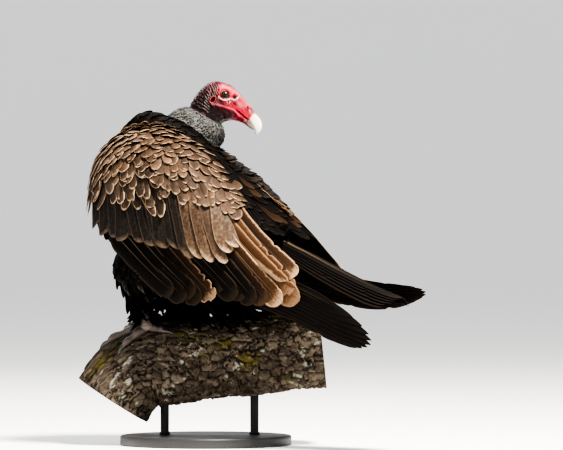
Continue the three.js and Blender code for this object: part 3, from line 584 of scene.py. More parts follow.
def flight_feather(batch, centre, across_way, up_way, width, tint, home, inner, mark, splits, tip_round=0.86,
                   camber=0.12, columns=9, point=2.2, shaft=1.0, shaft_tint=None):
    """One long feather along a line of points. The vane is wider on its inner side (+); each split (way,
    sign, depth, breadth) cuts a bell-shaped slit from one edge, slanted along the barbs. A raised shaft, a
    closed tube that thins towards the tip, runs along its middle."""
    rows = len(centre)
    x, t, low, quads = vane_grid(columns, rows, 1.0)
    step = np.clip(np.round(t * (rows - 1)).astype(int), 0, rows - 1)
    across = np.where(x > 0, x * inner, x * (2 - inner))
    edge = vane_width(t, root=0.35, full=0.22, round_from=tip_round, tip=0.05, point=point)
    for way, sign, depth, breadth in splits:
        reach = np.clip(x * sign, 0, 1)
        slit = bell(t - way - 0.035 * reach, breadth)
        edge = edge * np.where(x * sign > 0.3, 1 - depth * slit, 1)
    edge = edge * (1 + 0.006 * np.sin(t * 140 + 450 * home[0]) + 0.012 * np.sin(t * 37 + home[1] * 80))
    offset = (across * edge * width / 2)[:, None]
    height = (-camber * width * 0.5 * (across * edge) ** 2 - low * 0.5)[:, None]
    points = centre[step] + across_way[step] * offset + up_way[step] * height
    batch.add(points, quads, np.stack([0.5 + 0.5 * x, t], 1), home, tint, [*mark, rng.random()])

    kept = int(rows * SHAFT_END)
    ring = ring_steps(SHAFT_SIDES)[:, None]
    radius = (mix(1.15, 0.28, np.linspace(0, 1, kept)) * shaft)[:, None, None]
    circle = np.cos(ring) * across_way[:kept, None] + np.sin(ring) * up_way[:kept, None] * 0.8
    rings = (centre[:kept, None] + circle * radius).reshape(-1, 3)
    points = np.concatenate([rings, centre[[0, kept - 1]]])
    j = np.arange(0, SHAFT_SIDES, 2)
    k = (j + 2) % SHAFT_SIDES
    base = (kept - 1) * SHAFT_SIDES
    ends = [np.stack([j, j + 1, k, np.full(3, len(rings))], 1),
            np.stack([base + k, base + j + 1, base + j, np.full(3, len(rings) + 1)], 1)]
    quads = np.concatenate([grid_quads(kept, SHAFT_SIDES, wrap=True)[:, ::-1]] + ends)
    middle = np.concatenate([np.repeat(np.linspace(0, SHAFT_END, kept), SHAFT_SIDES), [0, SHAFT_END]])
    batch.add(points, quads, np.stack([np.full(len(points), 0.5), middle], 1), home,
              tint if shaft_tint is None else shaft_tint, [*mark, SHAFT_KIND])


def line_frame(points, out, side):
    """Across and up directions along a line of points, from a rough outward direction. Across is square to
    the line and to out, and is turned round where side is -1; up is square to both."""
    forward = unit(np.gradient(points, axis=0))
    across = unit(np.cross(forward, out))
    return side * across, unit(np.cross(across, forward))


def random_splits(number, low=0.35, high=0.9):
    """Slits for a feather's edge: way along, side, depth and breadth, all drawn at random."""
    return [(rng.uniform(low, high), rng.choice([-1, 1]), rng.uniform(0.10, 0.32), rng.uniform(0.005, 0.012))
            for _ in range(number)]


def wing_secondaries(side, word, material):
    """The long feathers from under the coverts: each runs straight from root to tip, less a sag of half a
    sine wave, at a depth under the shell that laps its neighbours."""
    surface = shell_surface(side)
    batch = Batch()
    count, rows = 14, 84
    for i in range(count):
        key = i / (count - 1)
        root_y, root_z, tip_y, tip_z = along(SECONDARIES, key)
        if side < 0:
            tip_z = tip_z - 15 * (1 - ramp(tip_y, 140, 240))
        tip_y = tip_y + rng.normal(0, 5.0)
        tip_z = tip_z + rng.normal(0, 4.0) + 2.0
        t = np.linspace(-0.12, 1, rows)
        out_way = np.clip(t, 0, 1)
        y = mix(root_y, tip_y, t)
        sag = 5 * np.sin(np.pi * out_way) * (0.4 + 0.6 * key)
        down = shell_length(side, y, mix(root_z, tip_z, t) - sag)
        lap = 1.6 * (0.5 - key) + 0.9 * (i % 2) - 1.2 * np.sin(np.pi * out_way) * key
        depth = covert_inside(side, y, down) + 2.6 + lap * out_way
        centre = surface(y, down, -depth)
        across, up = line_frame(centre, surface(y, down, 1 - depth) - centre, side)
        lit = SECONDARY_PAINTED_LIGHT.get(i, 0.0)
        fringe = SECONDARY_FRINGE.get(i, 0.04 + 0.3 * lit)
        slits = 4 if i in FRAYED_SECONDARIES else 0
        frayed = [(0.80 + 0.045 * n, (-1, 1)[n % 2], 0.55, 0.010) for n in range(slits)]
        # The right wing's secondaries are painted darker: painted shade.
        if side < 0:
            lit = 0.25 * lit
        # From near black, painted shade, to tan, painted light, by how lit each one is painted.
        tint = mix(DUSK * 0.6, TAN, lit) * np.exp(rng.normal(0, 0.14))
        width = 31 + 5 * np.sin(np.pi * key) + 7 * ramp(key, 0.7, 0.9)
        home = bake_home(key, 0.5, 6 if side > 0 else 7)
        flight_feather(batch, centre, across, up, width, tint, home, 1.3,
                       (fringe, 0.25 * lit * rng.random()), random_splits(4, 0.5, 0.97) + frayed,
                       camber=0.10, columns=13)
    batch.build(f"secondaries_{word}", material, (f"wing_{word}_secondaries",))


def wing_primaries(side, word, material):
    """The folded bundle of long narrow feathers, with stepped tips: each leaves the bundle's middle line
    by its own rise, which grows as the 0.8 power of the way along."""
    batch = Batch()
    count, rows = 9, 64
    stretch, fan = (1.06, 0.6) if side < 0 else (1.0, 1.0)
    for i in range(count):
        key = (i + 0.5) / count
        tip_y, tip_rise = along(PRIMARY_TIPS, key)
        t = np.linspace(0, 1, rows)
        y = mix(-34, tip_y * stretch, t)
        middle, across_x = np.moveaxis(along(BUNDLE[side], y), -1, 0)
        rise = mix((2 * key - 1) * 13, tip_rise * fan, t**0.8)
        stack = mix(0, 5, key) * np.sin(np.pi * t * 0.5)
        centre = np.stack([side * (across_x - 0.8 - stack), y, middle + rise], 1)
        across, up = line_frame(centre, np.tile([side, 0.0, 0.35], (rows, 1)), side)
        brown = mix(0.9, 0.1, min(i / 2, 1))
        flight_feather(batch, centre, across, up, 19, mix(BLACK * 1.5, DUSK * 0.9, brown),
                       bake_home(key, 0.2 if side > 0 else 0.7, 8), 1.35, (0.15 + 0.4 * brown, 0.15),
                       random_splits(2, 0.6, 0.95), 0.82, 0.08, point=1.6, shaft=1.1)
    batch.build(f"primaries_{word}", material, (f"wing_{word}_primaries",))


def free_tertials(material):
    """Long narrow feathers that stand free over the right wing's back: straight from root to tip under the
    shell, and lifted by the cube of the way along."""
    batch = Batch()
    surface = shell_surface(-1)
    rows = 40
    for i, (root_y, root_z, tip_y, tip_z, width) in enumerate(TERTIALS):
        t = np.linspace(-0.25, 1, rows)
        y = mix(root_y, tip_y, t)
        down = shell_length(-1, y, mix(root_z, tip_z, t))
        centre = surface(y, down, -covert_inside(-1, y, down) - 1.5)
        centre[:, 2] += (12 - 2 * i) * np.clip(t, 0, 1) ** 3
        across, up = line_frame(centre, np.tile([-0.7, 0.1, 0.7], (rows, 1)), -1)
        # The first tertial is painted lit tan and the rest dark: painted light and painted shade.
        flight_feather(batch, centre, across, up, width, mix(TAN * 1.4, DUSK, ramp(i, 1, 3)),
                       bake_home(0.2 * i, 0.9, 9), 1.2, (1.0, 0.6), random_splits(2), 0.8, 0.15)
    batch.build("tertials_right", material)


def scapulars(side, word, material):
    """Long sleek black feathers over the shoulder and the valley between the wings, in rows along the
    wing's inner edge from the middle outwards."""
    surface = shell_surface(side)
    batch = Batch()
    count = 17
    downs, fan, brown = ((-26, -16, -6, 4, 13), 5, 0.9) if side < 0 else ((-17, -9, -2, 4), 3, 0.3)
    for row, level in enumerate(downs):
        key = (np.arange(count) + 0.5 * (row % 2)) / count
        y = mix(-62, 165, key) + rng.normal(0, 2, count)
        down = level + rng.normal(0, 1.5, count) - 5 * ramp(y, 60, 160)
        heading = np.radians(4 + fan * row + 14 * (1 - key)) + rng.normal(0, 0.06, count)
        browner = (rng.random(count) < 0.4) * ramp(key, 0.3, 0.7) * brown
        tint = mix(shade(BLACK * 1.5, count, 0.2), BROWN * 0.5, browner[:, None])
        mark = marks(count, 0.05, 0.45, 0.2)
        lengths = mix(34, 60, key) * rng.normal(1, 0.08, count)
        lay_feathers(batch, surface, np.stack([y, down], 1), heading, lengths, mix(19, 24, key),
                     (-6.5, -0.6), tint, bake_home(key, row / 5, 9), columns=7, rows=16, camber=0.2,
                     tilt=rng.normal(0.0, 0.04, count), ragged=0.02, bend=rng.normal(0, 0.05, count),
                     shape=dict(root=0.5, full=0.35, round_from=0.72, point=2.0), mark=mark)
    batch.build(f"scapulars_{word}", material)


def mantle_vanes(material):
    """Smooth broad black feathers over the back, laid on the trunk's own section from row to row, with a
    soft rise over the front of the left shoulder."""
    batch = Batch()

    def surface(a, b, h):
        """a is the Y, b the length round the back at 55 mm to a radian, h the height."""
        rise = 5.5 * bell(a + 38, 17) * ramp(b, -25, 5) * ramp(-b, -75, -45)
        settle = 2.0 * bell(a + 6, 14)
        return trunk_surface(a, b / 55.0, -(h + rise - settle))

    rows, columns = 19, 17
    y, round_back = np.meshgrid(np.linspace(-92, 160, rows), np.linspace(-86, 86, columns), indexing="ij")
    round_back = round_back + 5.0 * (np.arange(rows) % 2)[:, None]
    y, round_back = y.ravel() + rng.normal(0, 2, y.size), round_back.ravel() + rng.normal(0, 1.5, y.size)
    count = len(y)
    mark = marks(count, 0.05, 0.4, 0.2)
    heading = 0.12 * round_back / 86 + rng.normal(0, 0.05, count)
    lengths = 38 * rng.normal(1, 0.07, count)
    lay_feathers(batch, surface, np.stack([y, round_back], 1), heading, lengths, 21, (-4.5, 0.5),
                 shade(BLACK * 1.4, count, 0.2), bake_home((y + 92) / 252, round_back / 180 + 0.5, 13),
                 columns=7, rows=11, camber=0.12, tilt=rng.normal(0, 0.03, count), shape=rounded, mark=mark)
    batch.build("mantle_vanes", material)


def tail_fan(material):
    """Twelve broad tail feathers, the middle ones on top, with rounded tips: across the tail they lie
    evenly over its half-width and drop by the square of the way out."""
    batch = Batch()
    count, rows = 12, 48
    for i in range(count):
        out = (i + 0.5) / count * 2 - 1
        t = np.linspace(0, 1, rows)
        y = mix(150, 402 - 12 * out**2 + rng.normal(0, 1.5), t)
        middle, half = np.moveaxis(along(TAIL, y), -1, 0)
        centre = np.stack([half * out * 0.86, y, middle - 8 * out**2 * t - 9 * abs(out) + 1.5], 1)
        across, up = line_frame(centre, np.tile([0.25 * out, 0.3, 1.0], (rows, 1)), -np.sign(out))
        tint = mix(BLACK * 2.4, DUSK * 1.6, ramp(abs(out), 0.6, 1)) * np.exp(rng.normal(0, 0.1))
        flight_feather(batch, centre, across, up, 31, tint, bake_home((out + 1) / 2, 0.5, 10), 1.15,
                       (0.3, 0.1), random_splits(2), 0.88, 0.08, columns=11,
                       shaft_tint=IVORY if abs(out) > 0.9 else None)
    batch.build("tail_feathers", material, ("tail",))


# ---------- trunk, neck and thighs

def rod(rows, sides, place):
    """A closed rod: rings of place(v, angle) for v from 0 to 1, each end closed to its middle point."""
    v, angle = ring_grid(rows, sides)
    rings = place(v, angle)
    points = np.concatenate([rings.reshape(-1, 3), rings[:1].mean(axis=1), rings[-1:].mean(axis=1)])
    return points, grid_quads(rows, sides, wrap=True), end_caps(rows, sides, rows * sides, rows * sides + 1)


def trunk_surface(y, angle, inset):
    """A section of the trunk at a Y: an ellipse between its lowest and highest point, drawn in by the
    inset and kept inside both wings' shells."""
    low, high, half = np.moveaxis(along(TRUNK, y), -1, 0)
    x = np.maximum(half - inset, 3) * np.sin(angle)
    z = (high + low) / 2 + np.maximum((high - low) / 2 - inset, 3) * np.cos(angle)
    points = np.stack([x, y, z], axis=-1)
    for side in (1, -1):
        ridge, gap, wing_half, fall = shell_at(side, y)
        foot = ridge - fall
        room_out = wing_half - 14 - inset - gap
        room_up = fall - 14 - inset
        out = np.maximum(side * x - gap, 0)
        ratio = np.maximum(np.hypot(out / room_out, np.maximum(z - foot, 0) / room_up), 1)
        inside = (side * x > gap)
        points[..., 0] = np.where(inside, side * (gap + out / ratio), points[..., 0])
        points[..., 2] = np.where(inside & (z > foot), foot + (z - foot) / ratio, points[..., 2])
    return points


def smooth_line(rows, key):
    """Catmull-Rom line through rows of numbers, all spans alike; key runs from 0 to 1."""
    rows = np.asarray(rows, float)
    wide = np.concatenate([2 * rows[:1] - rows[1:2], rows, 2 * rows[-1:] - rows[-2:-1]])
    place = np.clip(np.asarray(key, float), 0, 1) * (len(rows) - 1)
    i = np.clip(place.astype(int), 0, len(rows) - 2)
    t = (place - i)[..., None]
    a, b, c, d = (wide[i + n] for n in range(4))
    return 0.5 * (2 * b + (c - a) * t + (2 * a - 5 * b + 4 * c - d) * t**2 + (3 * b - a - 3 * c + d) * t**3)


HEAD_SIDE = np.array([np.sin(HEAD_HEADING), -np.cos(HEAD_HEADING), 0.0])


def neck_frame(key):
    """Middle, upward and sideways directions, way up the neck and half-width of the feathered neck."""
    before, here, after = (smooth_line(RUFF, np.asarray(key) + shift) for shift in (-0.01, 0.0, 0.01))
    forward = unit((after - before)[..., :3])
    above = unit(np.cross(HEAD_SIDE, forward))
    return here[..., :3], above, np.cross(forward, above), forward, here[..., 3]


def neck_surface(key, angle, inset):
    """The feathered neck: rings a little narrower across, square to the line through the table."""
    centre, above, across, _, half = neck_frame(key)
    reach = np.maximum(half - inset, 6)[..., None]
    upright = above * reach * np.cos(angle)[..., None]
    return centre + upright + across * 0.86 * reach * np.sin(angle)[..., None]


def thigh_surface(side, v, angle, inset):
    """The feathered thigh: level ovals that close at both ends."""
    x, y, z, wide, deep = np.moveaxis(along(keyed(THIGH), v * (len(THIGH) - 1)), -1, 0)
    end = np.sqrt(np.maximum(1 - (2 * v - 1) ** 6, 0.0))
    wide, deep = np.maximum(wide - inset, 4), np.maximum(deep - inset, 4)
    return np.stack([side * (x + wide * end * np.sin(angle)), y + deep * end * np.cos(angle), z], axis=-1)


def read(items, name, width, kind=float):
    """The values that a mesh's points, corners or edges hold, as rows of that width."""
    flat = np.empty(len(items) * width, kind)
    items.foreach_get(name, flat)
    return flat.reshape(-1, width)


def remeshed(parts, voxel, passes):
    """One closed skin round several closed rods, by a voxel remesh, then evened out by moving each point
    to the mean of its neighbours a few times. Returns points, quads and normals."""
    mesh = bpy.data.meshes.new("body_form")
    points, faces, count = [], [], 0
    for part_points, quads, caps in parts:
        points.append(part_points)
        faces += (quads + count).tolist() + (caps + count).tolist()
        count += len(part_points)
    mesh.from_pydata(np.concatenate(points), [], faces)
    form = placed("body_form", mesh)
    remesh = form.modifiers.new("remesh", "REMESH")
    remesh.mode = "VOXEL"
    remesh.voxel_size = voxel
    result = bpy.data.meshes.new_from_object(form.evaluated_get(bpy.context.evaluated_depsgraph_get()))
    body = read(result.vertices, "co", 3)
    quads = read(result.loops, "vertex_index", 1, np.int32).reshape(-1, 4)
    edges = read(result.edges, "vertices", 2, np.int32)
    degree = np.bincount(edges.ravel(), minlength=len(body))[:, None]
    for _ in range(passes):
        total = np.zeros_like(body)
        for column in range(3):
            total[:, column] = (np.bincount(edges[:, 0], body[edges[:, 1], column], len(body))
                                + np.bincount(edges[:, 1], body[edges[:, 0], column], len(body)))
        body = mix(body, total / degree, 0.6)
    bpy.data.objects.remove(form)
    bpy.data.meshes.remove(mesh)
    bpy.data.meshes.remove(result)
    return body, quads, grid_normals(body, quads)


def grid_normals(points, quads):
    """Mean of the normals of the quads round each point, each the cross of the quad's diagonals."""
    facing = np.cross(points[quads[:, 2]] - points[quads[:, 0]], points[quads[:, 3]] - points[quads[:, 1]])
    total = np.zeros_like(points)
    for column in range(3):
        weight = np.repeat(facing[:, column], quads.shape[1])
        total[:, column] = np.bincount(quads.ravel(), weight, len(points))
    return unit(total)


def facing_out(points, quads, caps):
    """A closed shape's faces, turned round where they face its middle, and its normals."""
    normals = grid_normals(points, quads)
    if np.sum(normals * (points - points.mean(axis=0))) < 0:
        return quads[:, ::-1], caps[:, ::-1], -normals
    return quads, caps, normals


def thinned(points, spacing):
    """Indices of points spread evenly: in a shaken order, the first in each cell of a grid in space."""
    order = rng.permutation(len(points))
    cells = np.floor((points[order] + 500) / spacing).astype(np.int64)
    code = (cells[:, 0] * 4096 + cells[:, 1]) * 4096 + cells[:, 2]
    _, first = np.unique(code, return_index=True)
    return order[first]


# ---------- limb, legs and feet

def limb_lean(run):
    """The slope of the limb's axis as an angle, from the heights 1 mm to either side."""
    return np.arctan((along(LIMB_AXIS, run + 1)[..., 0] - along(LIMB_AXIS, run - 1)[..., 0]) / 2)


def limb_surface(run, angle, radius):
    """A point at a radius from the limb's sloping axis: the way along it, and the angle from its top."""
    lean = limb_lean(run)
    out = LIMB_OFFSET + radius * np.sin(angle)
    place = run - radius * np.cos(angle) * np.sin(lean)
    height = along(LIMB_AXIS, run)[..., 0] + radius * np.cos(angle) * np.cos(lean)
    return np.stack([LIMB_COS * place + LIMB_SIN * out, LIMB_SIN * place - LIMB_COS * out, height], axis=-1)


def toe_place(side, turn, distance, lift):
    """A point of a toe: from the foot's place a distance over the limb's face, in short straight steps,
    and a height over it. distance and lift may be arrays."""
    x, y = side * FOOT_SIDE, FOOT_Y
    angle = np.arcsin((x * LIMB_SIN - y * LIMB_COS - LIMB_OFFSET) / LIMB_RADIUS)
    place = x * LIMB_COS + y * LIMB_SIN
    run = place
    for _ in range(5):
        run = place + LIMB_RADIUS * np.cos(angle) * np.sin(limb_lean(np.array(run)))
    distance = np.asarray(distance, float)
    run, angle = np.full(distance.shape, float(run)), np.full(distance.shape, float(angle))
    way = np.radians(FOOT_HEADING + side * turn) - LIMB_HEADING
    step = distance / TOE_STEPS
    for _ in range(TOE_STEPS):
        ahead = limb_surface(run + 1, angle, LIMB_RADIUS) - limb_surface(run, angle, LIMB_RADIUS)
        stretch = np.linalg.norm(ahead, axis=-1)
        run = run + step * np.cos(way) / stretch
        angle = angle - step * np.sin(way) / LIMB_RADIUS
    return limb_surface(run, angle, LIMB_RADIUS + np.asarray(lift, float))


def knotted_tube(knots, sizes, steps):
    """A tube along a smooth line through knots, with a size at each."""
    key = np.linspace(0, 1, steps)
    return tube(smooth_line(knots, key), smooth_line([[size] for size in sizes], key)[:, 0], 24)


def scaled(points, quads, caps, swell, tone_amount, light):
    """A leg's tube pushed out along its normals by a swell, with dark skin that is lighter on its scales:
    painted shade in the creases between them, lighter on the swelling.
    """
    points = points + grid_normals(points, quads) * (swell - 0.2)[:, None]
    return points, quads, caps, mix([0.035, 0.028, 0.026], light, tone_amount[:, None])


def leg_skin(side):
    """Shank, ankle and toes of one leg, as closed tubes with scale ridges: each ring swells in the middle
    of its scale, as the root of a sine wave. The skin is painted dark grey, as painted shade under the
    belly.
    Returns a list of points, quads, caps and colours."""
    parts = []
    way = np.linspace(-0.08, 1.0, 64)
    swell = along([(-0.08, 0.95), (0.3, 1.12), (0.55, 0.84), (0.78, 1.0), (1, 0.62)], way)[:, 0]
    end = np.sqrt(np.clip(1 - (2 * (way + 0.08) / 1.08 - 1) ** 10, 0.02, 1))
    for turn, length, thick, _ in TOES.values():
        radius = TOE_RADIUS * thick
        path = toe_place(side, turn, 4 + way * (length - 4), radius * swell + 0.3)
        points, quads, caps, along_way, angle = tube(path, radius * swell * end, 20)
        scale = np.abs(np.sin(np.pi * along_way * length / SCALE_LENGTH)) ** 0.5
        top = np.clip(np.cos(angle), 0, 1)
        # On the toes the scales are lighter on top: painted light where the toe faces up.
        parts.append(scaled(points, quads, caps, 0.42 * scale * top, scale * (0.35 + 0.65 * top),
                            [0.125, 0.100, 0.090]))
    ankle = toe_place(side, 0, [-8, -5, -1, 5, 9], [3.0, 6.9, 8.5, 6.9, 4])
    points, quads, caps, _, _ = knotted_tube(ankle, [1.0, 6.0, 7.4, 6.0, 2.0], 20)
    # The ankle is painted dark grey: painted shade under the belly.
    parts.append((points, quads, caps, np.tile([0.10, 0.080, 0.072], (len(points), 1))))
    x, y, z = toe_place(side, 0, 0.0, 11.0)
    knots = [(side * 38, y - 6, z + 56), (side * 38, y - 6, z + 50), (side * 37, y - 7, z + 34),
             (side * 35, y - 4, z + 16), (x, y, z), (x, y, z - 4)]
    points, quads, caps, along_way, angle = knotted_tube(knots, [1.5, 7.0, 5.5, 5.1, 6.2, 2.0], 90)
    wave = np.pi * (along_way * 17 + 0.8 * np.cos(angle))
    scale = np.abs(np.sin(wave)) ** 0.5 * np.abs(np.cos(1.5 * angle)) ** 0.2
    parts.append(scaled(points, quads, caps, 0.4 * scale, scale, [0.125, 0.100, 0.088]))
    return parts


def claws(material):
    """Hooked claws that taper from each toe's end towards the limb."""
    way = np.linspace(0, 1, 30)
    swell = along([(0, 1.0), (0.35, 0.86), (0.7, 0.55), (1, 0.10)], way)[:, 0]
    lift = along([(0, 3.5), (0.35, 4.5), (0.7, 3.3), (1, 0.9)], way)[:, 0]
    for word, side in SIDES:
        for name, (turn, length, thick, claw) in TOES.items():
            path = toe_place(side, turn, length - 1.2 + way * (claw + 1.6), lift)
            points, quads, caps, along_way, _ = tube(path, TOE_RADIUS * thick * 0.5 * swell, 16, flat=1.12)
            tone = mix([0.055, 0.048, 0.044], [0.012, 0.011, 0.011], along_way[:, None])
            make(f"horn_claw_{word}_{name}", points, [quads, caps], material,
                 (f"claw_{word}_{name}",), tone)


def bark_cells(turn, along_run, number, shift, seed):
    """Plates of bark: cells round shaken points of a grid with `number` columns round the limb. Returns how
    much nearer the nearest point is than the second nearest, and a tone from -1 to 1 for each cell."""
    table = np.random.default_rng(seed)
    rows = 80
    jitter = table.uniform(0.12, 0.88, (number, rows, 2))
    tones = table.uniform(-1, 1, (number, rows))
    u, v = turn * number + shift * number / 12, along_run + 20
    column, row = np.floor(u).astype(int), np.floor(v).astype(int)
    first, second, tone = np.full(u.shape, 9.0), np.full(u.shape, 9.0), np.zeros(u.shape)
    for dc in (-1, 0, 1):
        for dr in (-1, 0, 1):
            c, r = (column + dc) % number, np.clip(row + dr, 0, rows - 1)
            far = np.hypot(u - column - dc - jitter[c, r, 0], v - row - dr - jitter[c, r, 1])
            nearer = far < first
            second = np.where(nearer, first, np.minimum(second, far))
            tone = np.where(nearer, tones[c, r], tone)
            first = np.where(nearer, far, first)
    return second - first, tone


def sawn_end(run, ring_angle, outer, rings):
    """A sawn face: rings drawn in from the bark, with growth rings as bent sine waves of the radius, a
    darker heart, and drying cracks along five rays. Returns points and tones, without the middle."""
    reach = np.linspace(1, 0, rings + 1)[1:-1, None]
    radius = reach * outer
    face = limb_surface(np.full(radius.shape, run), np.broadcast_to(ring_angle, radius.shape), radius)
    age = np.sin(radius * 1.9 + 1.2 * np.sin(3 * ring_angle) + 0.8 * np.sin(radius * 0.31))
    wood = mix([0.27, 0.19, 0.12], [0.155, 0.10, 0.058], ramp(age, -0.4, 0.8)[..., None])
    wood = wood * mix(np.ones(3), [0.55, 0.48, 0.42], ramp(-radius, -24, -14)[..., None])
    ray = np.abs(np.sin(2.5 * ring_angle + 0.7 + 0.12 * np.sin(radius * 0.4)))
    wood = wood * mix(0.25, 1.0, ramp(ray, 0.0, 0.035 + 0.4 / np.maximum(radius, 4)))[..., None]
    wood = over(wood, [0.030, 0.022, 0.016], ramp(reach, 0.93, 0.96))
    return face.reshape(-1, 3), wood.reshape(-1, 3)


def bark_limb(material):
    """The cut limb: rings square to its sloping axis whose radius carries long bark ridges, cracks and
    knots, lower under the feet, and two sawn ends with growth rings."""
    rows, sides, end_rings = 300, 276, 30
    first, last = LIMB_AXIS[0][0] + 1.5, LIMB_AXIS[-1][0] - 1.5
    v, angle = ring_grid(rows, sides)
    run = mix(first, last, v)
    ring = np.stack([np.cos(angle), np.sin(angle), run / LIMB_RADIUS], -1) * LIMB_RADIUS
    warp = 0.5 * wobble(ring, 9.0, 1.0) + 0.3 * wobble(ring, 3.5, 5.0)
    turn = angle / (2 * np.pi) + 0.0006 * run
    plate_edge, plate_tone = bark_cells(turn, run / 19 + 0.8 * warp, 27, 0.22 * warp, 21)
    chip_edge, chip_tone = bark_cells(turn, run / 7 + warp, 60, 0.3 * warp, 22)
    plates = wobble(ring * np.array([1, 1, 0.6]), 16.0, 4.0)
    fine = wobble(ring * np.array([1, 1, 0.7]), 2.6, 8.0)
    ridges = 1.5 * ramp(plate_edge, 0.02, 0.42) ** 0.7 + 0.5 * ramp(chip_edge, 0.0, 0.4)
    ridges = ridges + 0.5 * plate_tone - 1.3
    knots = np.exp(-(((run - 150) / 16) ** 2 + ((angle - 1.2) / 0.3) ** 2)) * 4
    under = ramp(-np.cos(angle), -0.2, 0.5)
    relief = (1.9 * ridges + 1.2 * plates + 0.4 * fine) * mix(0.8, 1.4, under) - 1.6 + knots
    foot_place = bell(run - 5, 75) * ramp(np.cos(angle), 0.1, 0.7)
    relief = relief * (1 - 0.5 * foot_place)
    relief = np.minimum(relief, mix(2.2, -0.35, ramp(np.cos(angle), -0.1, 0.5) * foot_place**0.3))
    moss = ramp(wobble(ring, 24, 2.0) + 0.4 * fine + 0.5 * np.cos(angle - 0.4), 0.75, 1.3)
    lichen = ramp(wobble(ring, 8, 6.0) + 0.5 * wobble(ring, 2.2, 3.0), 0.75, 0.95)
    # Cracks, low in the relief, are painted near black: painted shade in the fissures.
    crack = np.clip(ramp(-plate_edge, -0.20, -0.03) + 0.45 * ramp(-chip_edge, -0.14, -0.02), 0, 1)
    light = np.clip(0.5 + 0.35 * plate_tone + 0.4 * chip_tone + 0.25 * fine, 0, 1)
    tone = mix([0.050, 0.037, 0.027], [0.145, 0.118, 0.086], light[..., None] ** 1.5)
    for colour, amount in (([0.105, 0.090, 0.012], 0.75 * moss), ([0.30, 0.31, 0.25], 0.8 * lichen),
                           ([0.007, 0.0055, 0.0045], 0.95 * crack)):
        tone = over(tone, colour, amount)
    points = [limb_surface(run, angle, LIMB_RADIUS + relief).reshape(-1, 3)]
    tones, quads, tips = [tone.reshape(-1, 3)], [grid_quads(rows, sides, True)], []
    count = rows * sides
    j, k = ring_pairs(sides)
    for run_end, row, base in ((first, 0, 0), (last, -1, count - sides)):
        face, wood = sawn_end(run_end, angle[0], LIMB_RADIUS + relief[row], end_rings)
        middle = limb_surface(np.array([run_end]), np.array([0.0]), np.array([0.0]))
        points += [face, middle]
        tones += [wood, np.array([[0.2, 0.13, 0.08]])]
        join = np.stack([base + j, count + j, count + k, base + k], 1)
        inner = grid_quads(end_rings - 1, sides, True) + count
        count += len(face) + 1
        tip = np.stack([count - 1 - sides + j, count - 1 - sides + k, np.full(sides, count - 1)], 1)
        if row == 0:
            join, tip, inner = join[:, ::-1], tip[:, ::-1], inner[:, ::-1]
        quads += [join[:, ::-1], inner]
        tips.append(tip)
    make("bark_limb", np.concatenate(points), quads + tips, material, ("perch_limb",),
         np.concatenate(tones))


def turned(name, outline, centre, material, node):
    """A turned piece: an outline of radius and height carried round an upright axis."""
    outline = np.asarray(outline, float)
    angle = ring_steps(TURNED_STEPS)
    radius, height = outline[1:-1, :1], outline[1:-1, 1:]
    rings = np.stack([radius * np.cos(angle), radius * np.sin(angle), height + 0 * angle], -1).reshape(-1, 3)
    ends = [[0, 0, outline[0, 1]], [0, 0, outline[-1, 1]]]
    points = np.concatenate([rings, ends]) + [centre[0], centre[1], 0] - BIRD_OFFSET
    caps = end_caps(len(radius), TURNED_STEPS, len(rings), len(rings) + 1)
    quads = grid_quads(len(radius), TURNED_STEPS, True)
    make(name, points, [quads, caps], material, (node,))


# ---------- head

HEAD_ROWS, HEAD_SIDES = 250, 184
EAR = (-9.9, -15.8)
NOSTRIL = (42.0, 2.1)
EYE_OPENING = (4.9, 4.4)
NOSTRIL_OPENING = (3.1, 1.45)
NOSTRIL_SLOPE = np.radians(25)
FOLDS = [
    # polyline in (forward, up), height, width
    ([(-7, -23), (-1.6, -19), (10.5, -14.2), (22, -10.4), (33, -12.6)], 1.7, 1.6),
    ([(-9, -6), (-8, 5), (-2, 9.5), (6, 9.2), (12, 5)], 0.9, 1.8),
    ([(-7, -3), (-3, -8), (4, -8.5), (11, -5), (17, -4)], 0.7, 1.3),
    ([(10, 9), (20, 6.5), (30, 4), (36, 2)], 0.7, 2.0),
    ([(-16, -6), (-14, -14), (-11, -20), (-4, -24)], 0.6, 1.6),
]
# Lines and marks on the skin, each point as (forward, up).
MOUTH = [(24, -8.2), (37.4, -9.3), (52, -10.6)]
LORE = (13.2, 5.6)
LORE_RIM = [(9.5, 0.6), (13.5, 2.2), (17.5, 5.0)]
BROW = [(-9, 8), (3, 12.5), (16, 13), (31, 10.5), (38, 8)]
JAW_FOLD = [(-32, -25), (-9, -23.5), (-1.6, -20), (10.5, -15), (22, -11), (33, -12.5), (40, -12)]
# Dark blotches: forward, up, reach forward, reach up. The third, in front of the eye below the lore, is a
# painted shadow.
BLOTCHES = [(2.5, -12.5, 9.5, 3.6), (-8.5, -8, 2.6, 6.0), (18.5, -2.0, 3.6, 2.2), (7, -4, 4, 3)]
CRESCENT = [(-5.4, -7.2), (-2.0, -8.4), (1.5, -7.3), (4.85, -5.0), (9.3, -0.2), (11.5, 1.4), (13.5, 1.2),
            (16.2, 3.2), (17.4, 6.6), (16.9, 9.4)]
WARTS = [(-5.6, -7.6), (-3.0, -8.2), (-0.4, -8.0), (2.2, -7.0), (4.6, -5.2), (6.8, -3.0), (8.2, -0.6),
         (9.2, -7.4), (11.6, -5.6), (10.4, -3.2), (12.6, 0.4), (15.2, 1.6), (17.4, 4.2), (16.4, 7.4)]


def head_to_bird(p):
    """From the head's frame, turned by its tilt and heading and moved to its place."""
    x, y, z = np.moveaxis(p, -1, 0)
    cos_t, sin_t = np.cos(HEAD_TILT), np.sin(HEAD_TILT)
    cos_h, sin_h = np.cos(HEAD_HEADING), np.sin(HEAD_HEADING)
    out, up = x * cos_t + z * sin_t, z * cos_t - x * sin_t
    return HEAD_PLACE + np.stack([cos_h * out - sin_h * y, sin_h * out + cos_h * y, up], -1)


